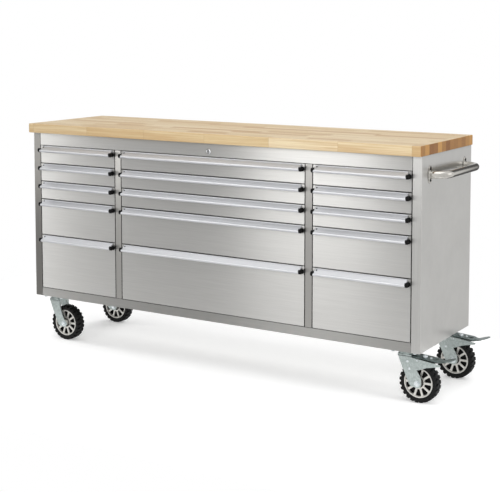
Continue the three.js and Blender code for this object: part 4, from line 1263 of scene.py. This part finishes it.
class CHEST_OT_wheels(bpy.types.Operator):
    """Build the spoked wheels and their lugged tyres"""

    bl_idname = "chest.wheels"
    bl_label = "Wheels"

    def face_plate(self, sizes):
        """Outline circle, hub hole and the rounded windows between the spokes."""
        holes = [arc((0, 0), sizes.hub_hole, 0, 360, 36)[:-1]]
        pitch = 360 / sizes.spokes
        for i in range(sizes.spokes):
            turn = Matrix.Rotation(math.radians(pitch * (i + 0.5)), 2)
            holes.append([tuple(turn @ Vector(p)) for p in rounded(in_metres(WINDOW), 4)])
        return arc((0, 0), sizes.rim_ring + 0.5 * MM, 0, 360, 72)[:-1], holes

    def rim(self, sizes, radius, boss, material):
        bm = bmesh.new()
        outline, holes = self.face_plate(sizes)
        for side in (-1, 1):
            plate = bmesh.new()
            pierced(plate, outline, holes, sizes.spoke_sheet)
            depth = side * sizes.spoke_face
            turn = Matrix.Rotation(math.radians(90 * side), 4, "X")
            move = Matrix.Translation((0, depth, 0)) @ turn
            bmesh.ops.transform(plate, matrix=move, verts=plate.verts)
            mesh = bpy.data.meshes.new("spoke_face")
            plate.to_mesh(mesh)
            plate.free()
            bm.from_mesh(mesh)
            bpy.data.meshes.remove(mesh)
        ring, half = sizes.rim_ring, 19 * MM
        edge = [
            (ring, half - 4 * MM), (ring + 0.8 * MM, half - 1 * MM), (ring + 2 * MM, half),
            (radius - 0.8 * MM, half), (radius, half - 0.8 * MM),
        ]
        lathe(bm, symmetric(edge), 96, ALONG_Y, closed=True)
        bore, hub = 6.3 * MM, sizes.hub_boss
        ends = [(bore, boss), (hub - 1.5 * MM, boss), (hub, boss - 1.5 * MM)]
        lathe(bm, symmetric(ends), 64, ALONG_Y, closed=True)
        return to_mesh(bm, "rim", material)

    def core(self, sizes, material):
        """Black web between the two spoked faces, and the bottom of the recess round the hub."""
        bm = bmesh.new()
        inner, outer = sizes.hub_boss - 1 * MM, sizes.rim_ring - 0.5 * MM
        face, web = sizes.spoke_face - sizes.spoke_sheet, 3 * MM
        shape = [(inner, face - 1 * MM), (sizes.hub_hole + 3 * MM, face - 1 * MM),
                 (sizes.hub_hole + 4 * MM, web), (outer - 1 * MM, web), (outer, face)]
        lathe(bm, symmetric(shape), 64, ALONG_Y, closed=True)
        return to_mesh(bm, "wheel_core", material)

    def tyre(self, sizes, radius, material):
        """Lugs lean across each shoulder, half a pitch apart, over a shallow zigzag middle."""
        half = sizes.tyre_width / 2
        scale = radius / (TYRE_RADIUS * MM)
        bead, bead_radius = TYRE_BEAD
        across = [(-y * half, r * MM * scale, d) for y, r, d in TYRE_SIDE]
        across += [(0, radius, TYRE_SIDE[-1][2])]
        across += [(y * half, r * MM * scale, d) for y, r, d in reversed(TYRE_SIDE)]
        across += [(bead * half, bead_radius * MM, 0), (-bead * half, bead_radius * MM, 0)]
        bm = bmesh.new()
        rings = []
        for lug in range(sizes.lugs):
            for share, groove in TYRE_STATIONS:
                ring = []
                for y, r, d in across:
                    lean = 0.25 * math.tanh(3 * y / half) + 0.12 * y / half
                    angle = 2 * math.pi * (lug + share + lean) / sizes.lugs
                    depth = r - groove * d * sizes.lug_depth
                    ring.append(bm.verts.new((depth * math.cos(angle), y, depth * math.sin(angle))))
                rings.append(ring)
        skin(bm, rings, closed=True)
        return to_mesh(bm, "tyre", material, smooth=32)

    def execute(self, context):
        sizes = context.scene.chest_sizes
        low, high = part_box("tyre_front_left")
        rim_low, rim_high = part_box("rim_front_left")
        radius, boss = (rim_high.z - rim_low.z) / 2, (rim_high.y - rim_low.y) / 2
        rim = self.rim(sizes, radius, boss, rim_lacquer())
        core = self.core(sizes, core_plastic())
        tyre = self.tyre(sizes, (high.z - low.z) / 2, tyre_rubber())
        for corner in CORNERS:
            centre = middle(f"rim_{corner}")
            body, node, tyre_node = f"wheel_{corner}", f"rim_{corner}", f"tyre_{corner}"
            piece = add_piece(f"spoked_rim_{corner}", rim, centre, body, [node])
            bevel(piece, 0.9 * MM, angle=40)
            add_piece(f"wheel_core_{corner}", core, centre, body, [node])
            add_piece(f"lugged_tyre_{corner}", tyre, centre, body, [tyre_node])
        return {"FINISHED"}


class CHEST_OT_stage(bpy.types.Operator):
    """Lay the floor and set the walls, the lamps and the camera"""

    bl_idname = "chest.stage"
    bl_label = "Studio"

    def seen(self, tree):
        """1 for the rays that show the background: straight, mirrored or through glass."""
        rays = add_node(tree, "LightPath").node.outputs
        shown = add_node(tree, "Math", {
            0: rays["Is Camera Ray"], 1: rays["Is Glossy Ray"]}, operation="MAXIMUM")
        return add_node(tree, "Math", {
            0: shown, 1: rays["Is Transmission Ray"]}, operation="MAXIMUM")

    def floor(self, context):
        """White floor that keeps the chest's shadow."""
        material = bpy.data.materials.new("white_studio_floor")
        material.use_nodes = True
        tree = material.node_tree
        tree.nodes.clear()
        diffuse = add_node(tree, "BsdfDiffuse", {"Color": (*context.scene.chest_colours.floor, 1)})
        share = add_node(tree, "Math", {
            0: self.seen(tree), 1: context.scene.chest_studio.floor_glow}, operation="MULTIPLY")
        glow = add_node(tree, "Emission", {"Strength": share})
        both = add_node(tree, "AddShader", {0: diffuse, 1: glow})
        add_node(tree, "OutputMaterial", {"Surface": both}, output=None)
        bm = bmesh.new()
        bm.faces.new([bm.verts.new((*corner, 0)) for corner in FLOOR_CORNERS])
        floor = bpy.data.objects.new("studio_floor", to_mesh(bm, "studio_floor", material))
        bm = bmesh.new()
        inner, outer = (
            [bm.verts.new((*corner, 0)) for corner in sheet]
            for sheet in (FLOOR_CORNERS, SURROUND_CORNERS)
        )
        for i in range(4):
            bm.faces.new((outer[i - 1], outer[i], inner[i], inner[i - 1]))
        surround = bpy.data.objects.new("floor_surround", to_mesh(bm, "floor_surround", material))
        surround.visible_glossy = False
        for sheet in (floor, surround):
            context.scene.collection.objects.link(sheet)

    def walls(self, context):
        """Pale studio; mirrored rays also see how its walls fall off between the lamps."""
        world = bpy.data.worlds.new("studio")
        context.scene.world = world
        world.use_nodes = True
        tree = world.node_tree
        tree.nodes.clear()
        light = add_node(tree, "Background", {
            "Color": (1, 1, 1, 1), "Strength": context.scene.chest_studio.sky})
        direction = add_node(tree, "TexCoord", output="Generated")
        around = add_node(tree, "TexGradient", {"Vector": direction}, gradient_type="RADIAL")
        greys = [((90 - degrees) / 360, (grey, grey, grey)) for degrees, grey in WALL_GREYS]
        falloff = add_node(tree, "ValToRGB", {"Fac": around}, stops=greys)
        height = add_node(tree, "SeparateXYZ", {0: direction}, output="Z")
        ceiling = add_node(tree, "MapRange", {
            "Value": height, "From Min": CEILING[0], "From Max": CEILING[1]})
        walls = add_node(tree, "Mix", {
            0: ceiling, 6: falloff, 7: (1, 1, 1, 1)}, output=2, data_type="RGBA")
        mirrored = add_node(tree, "LightPath", output="Is Glossy Ray")
        tone = add_node(tree, "Mix", {
            0: mirrored, 6: (1, 1, 1, 1), 7: walls}, output=2, data_type="RGBA")
        shown = add_node(tree, "Background", {"Color": tone, "Strength": 1})
        mix = add_node(tree, "MixShader", {0: self.seen(tree), 1: light, 2: shown})
        add_node(tree, "OutputWorld", {"Surface": mix}, output=None)

    def lamp(self, context, name, place, target, size, mirrored, spread=180):
        data = bpy.data.lights.new(name, "AREA")
        data.shape = "RECTANGLE"
        data.size, data.size_y = size
        data.energy = getattr(context.scene.chest_studio, name)
        data.spread = math.radians(spread)
        lamp = bpy.data.objects.new(name, data)
        lamp.location = place
        lamp.rotation_euler = (Vector(target) - Vector(place)).to_track_quat("-Z", "Y").to_euler()
        lamp.visible_camera = False
        lamp.visible_glossy = mirrored
        context.scene.collection.objects.link(lamp)

    def execute(self, context):
        settings = context.scene.chest_studio
        self.floor(context)
        self.walls(context)
        for name, *values in LAMPS:
            self.lamp(context, name, *values)
        data = bpy.data.cameras.new("camera")
        data.lens = settings.lens
        data.sensor_width = 36
        data.shift_y = settings.shift
        camera = bpy.data.objects.new("camera", data)
        camera.location = settings.camera
        camera.rotation_euler = (math.radians(90) - settings.pitch, 0, settings.yaw)
        context.scene.collection.objects.link(camera)
        context.scene.camera = camera
        context.scene.view_settings.view_transform = "Standard"
        return {"FINISHED"}


class CHEST_PT_panel(bpy.types.Panel):
    """Tool chest: its pieces, sizes, colours and studio"""

    bl_idname = "CHEST_PT_panel"
    bl_label = "Tool Chest"
    bl_space_type = "VIEW_3D"
    bl_region_type = "UI"
    bl_category = "Tool Chest"

    def draw(self, context):
        for operator in OPERATORS:
            self.layout.operator(operator.bl_idname)
        for label, group in (
            ("Sizes", context.scene.chest_sizes),
            ("Colours", context.scene.chest_colours),
            ("Studio", context.scene.chest_studio),
        ):
            box = self.layout.box()
            box.label(text=label)
            for name in group.__annotations__:
                box.prop(group, name, text=name.replace("_", " ").capitalize())


OPERATORS = (
    CHEST_OT_stage,
    CHEST_OT_carcass,
    CHEST_OT_worktop,
    CHEST_OT_drawers,
    CHEST_OT_drawer_handles,
    CHEST_OT_lock,
    CHEST_OT_push_handle,
    CHEST_OT_caster_plates,
    CHEST_OT_forks,
    CHEST_OT_brakes,
    CHEST_OT_wheels,
)
GROUPS = {"chest_colours": ChestColours, "chest_sizes": ChestSizes, "chest_studio": StudioSettings}


def register():
    for group in GROUPS.values():
        bpy.utils.register_class(group)
    for operator in OPERATORS:
        bpy.utils.register_class(operator)
    bpy.utils.register_class(CHEST_PT_panel)
    for name, group in GROUPS.items():
        setattr(bpy.types.Scene, name, PointerProperty(type=group))


def unregister():
    for name in GROUPS:
        delattr(bpy.types.Scene, name)
    bpy.utils.unregister_class(CHEST_PT_panel)
    for operator in reversed(OPERATORS):
        bpy.utils.unregister_class(operator)
    for group in GROUPS.values():
        bpy.utils.unregister_class(group)


def main():
    register()
    for operator in OPERATORS:
        group, name = operator.bl_idname.split(".")
        getattr(getattr(bpy.ops, group), name)()
    bpy.context.view_layer.update()


if __name__ == "__main__":
    main()
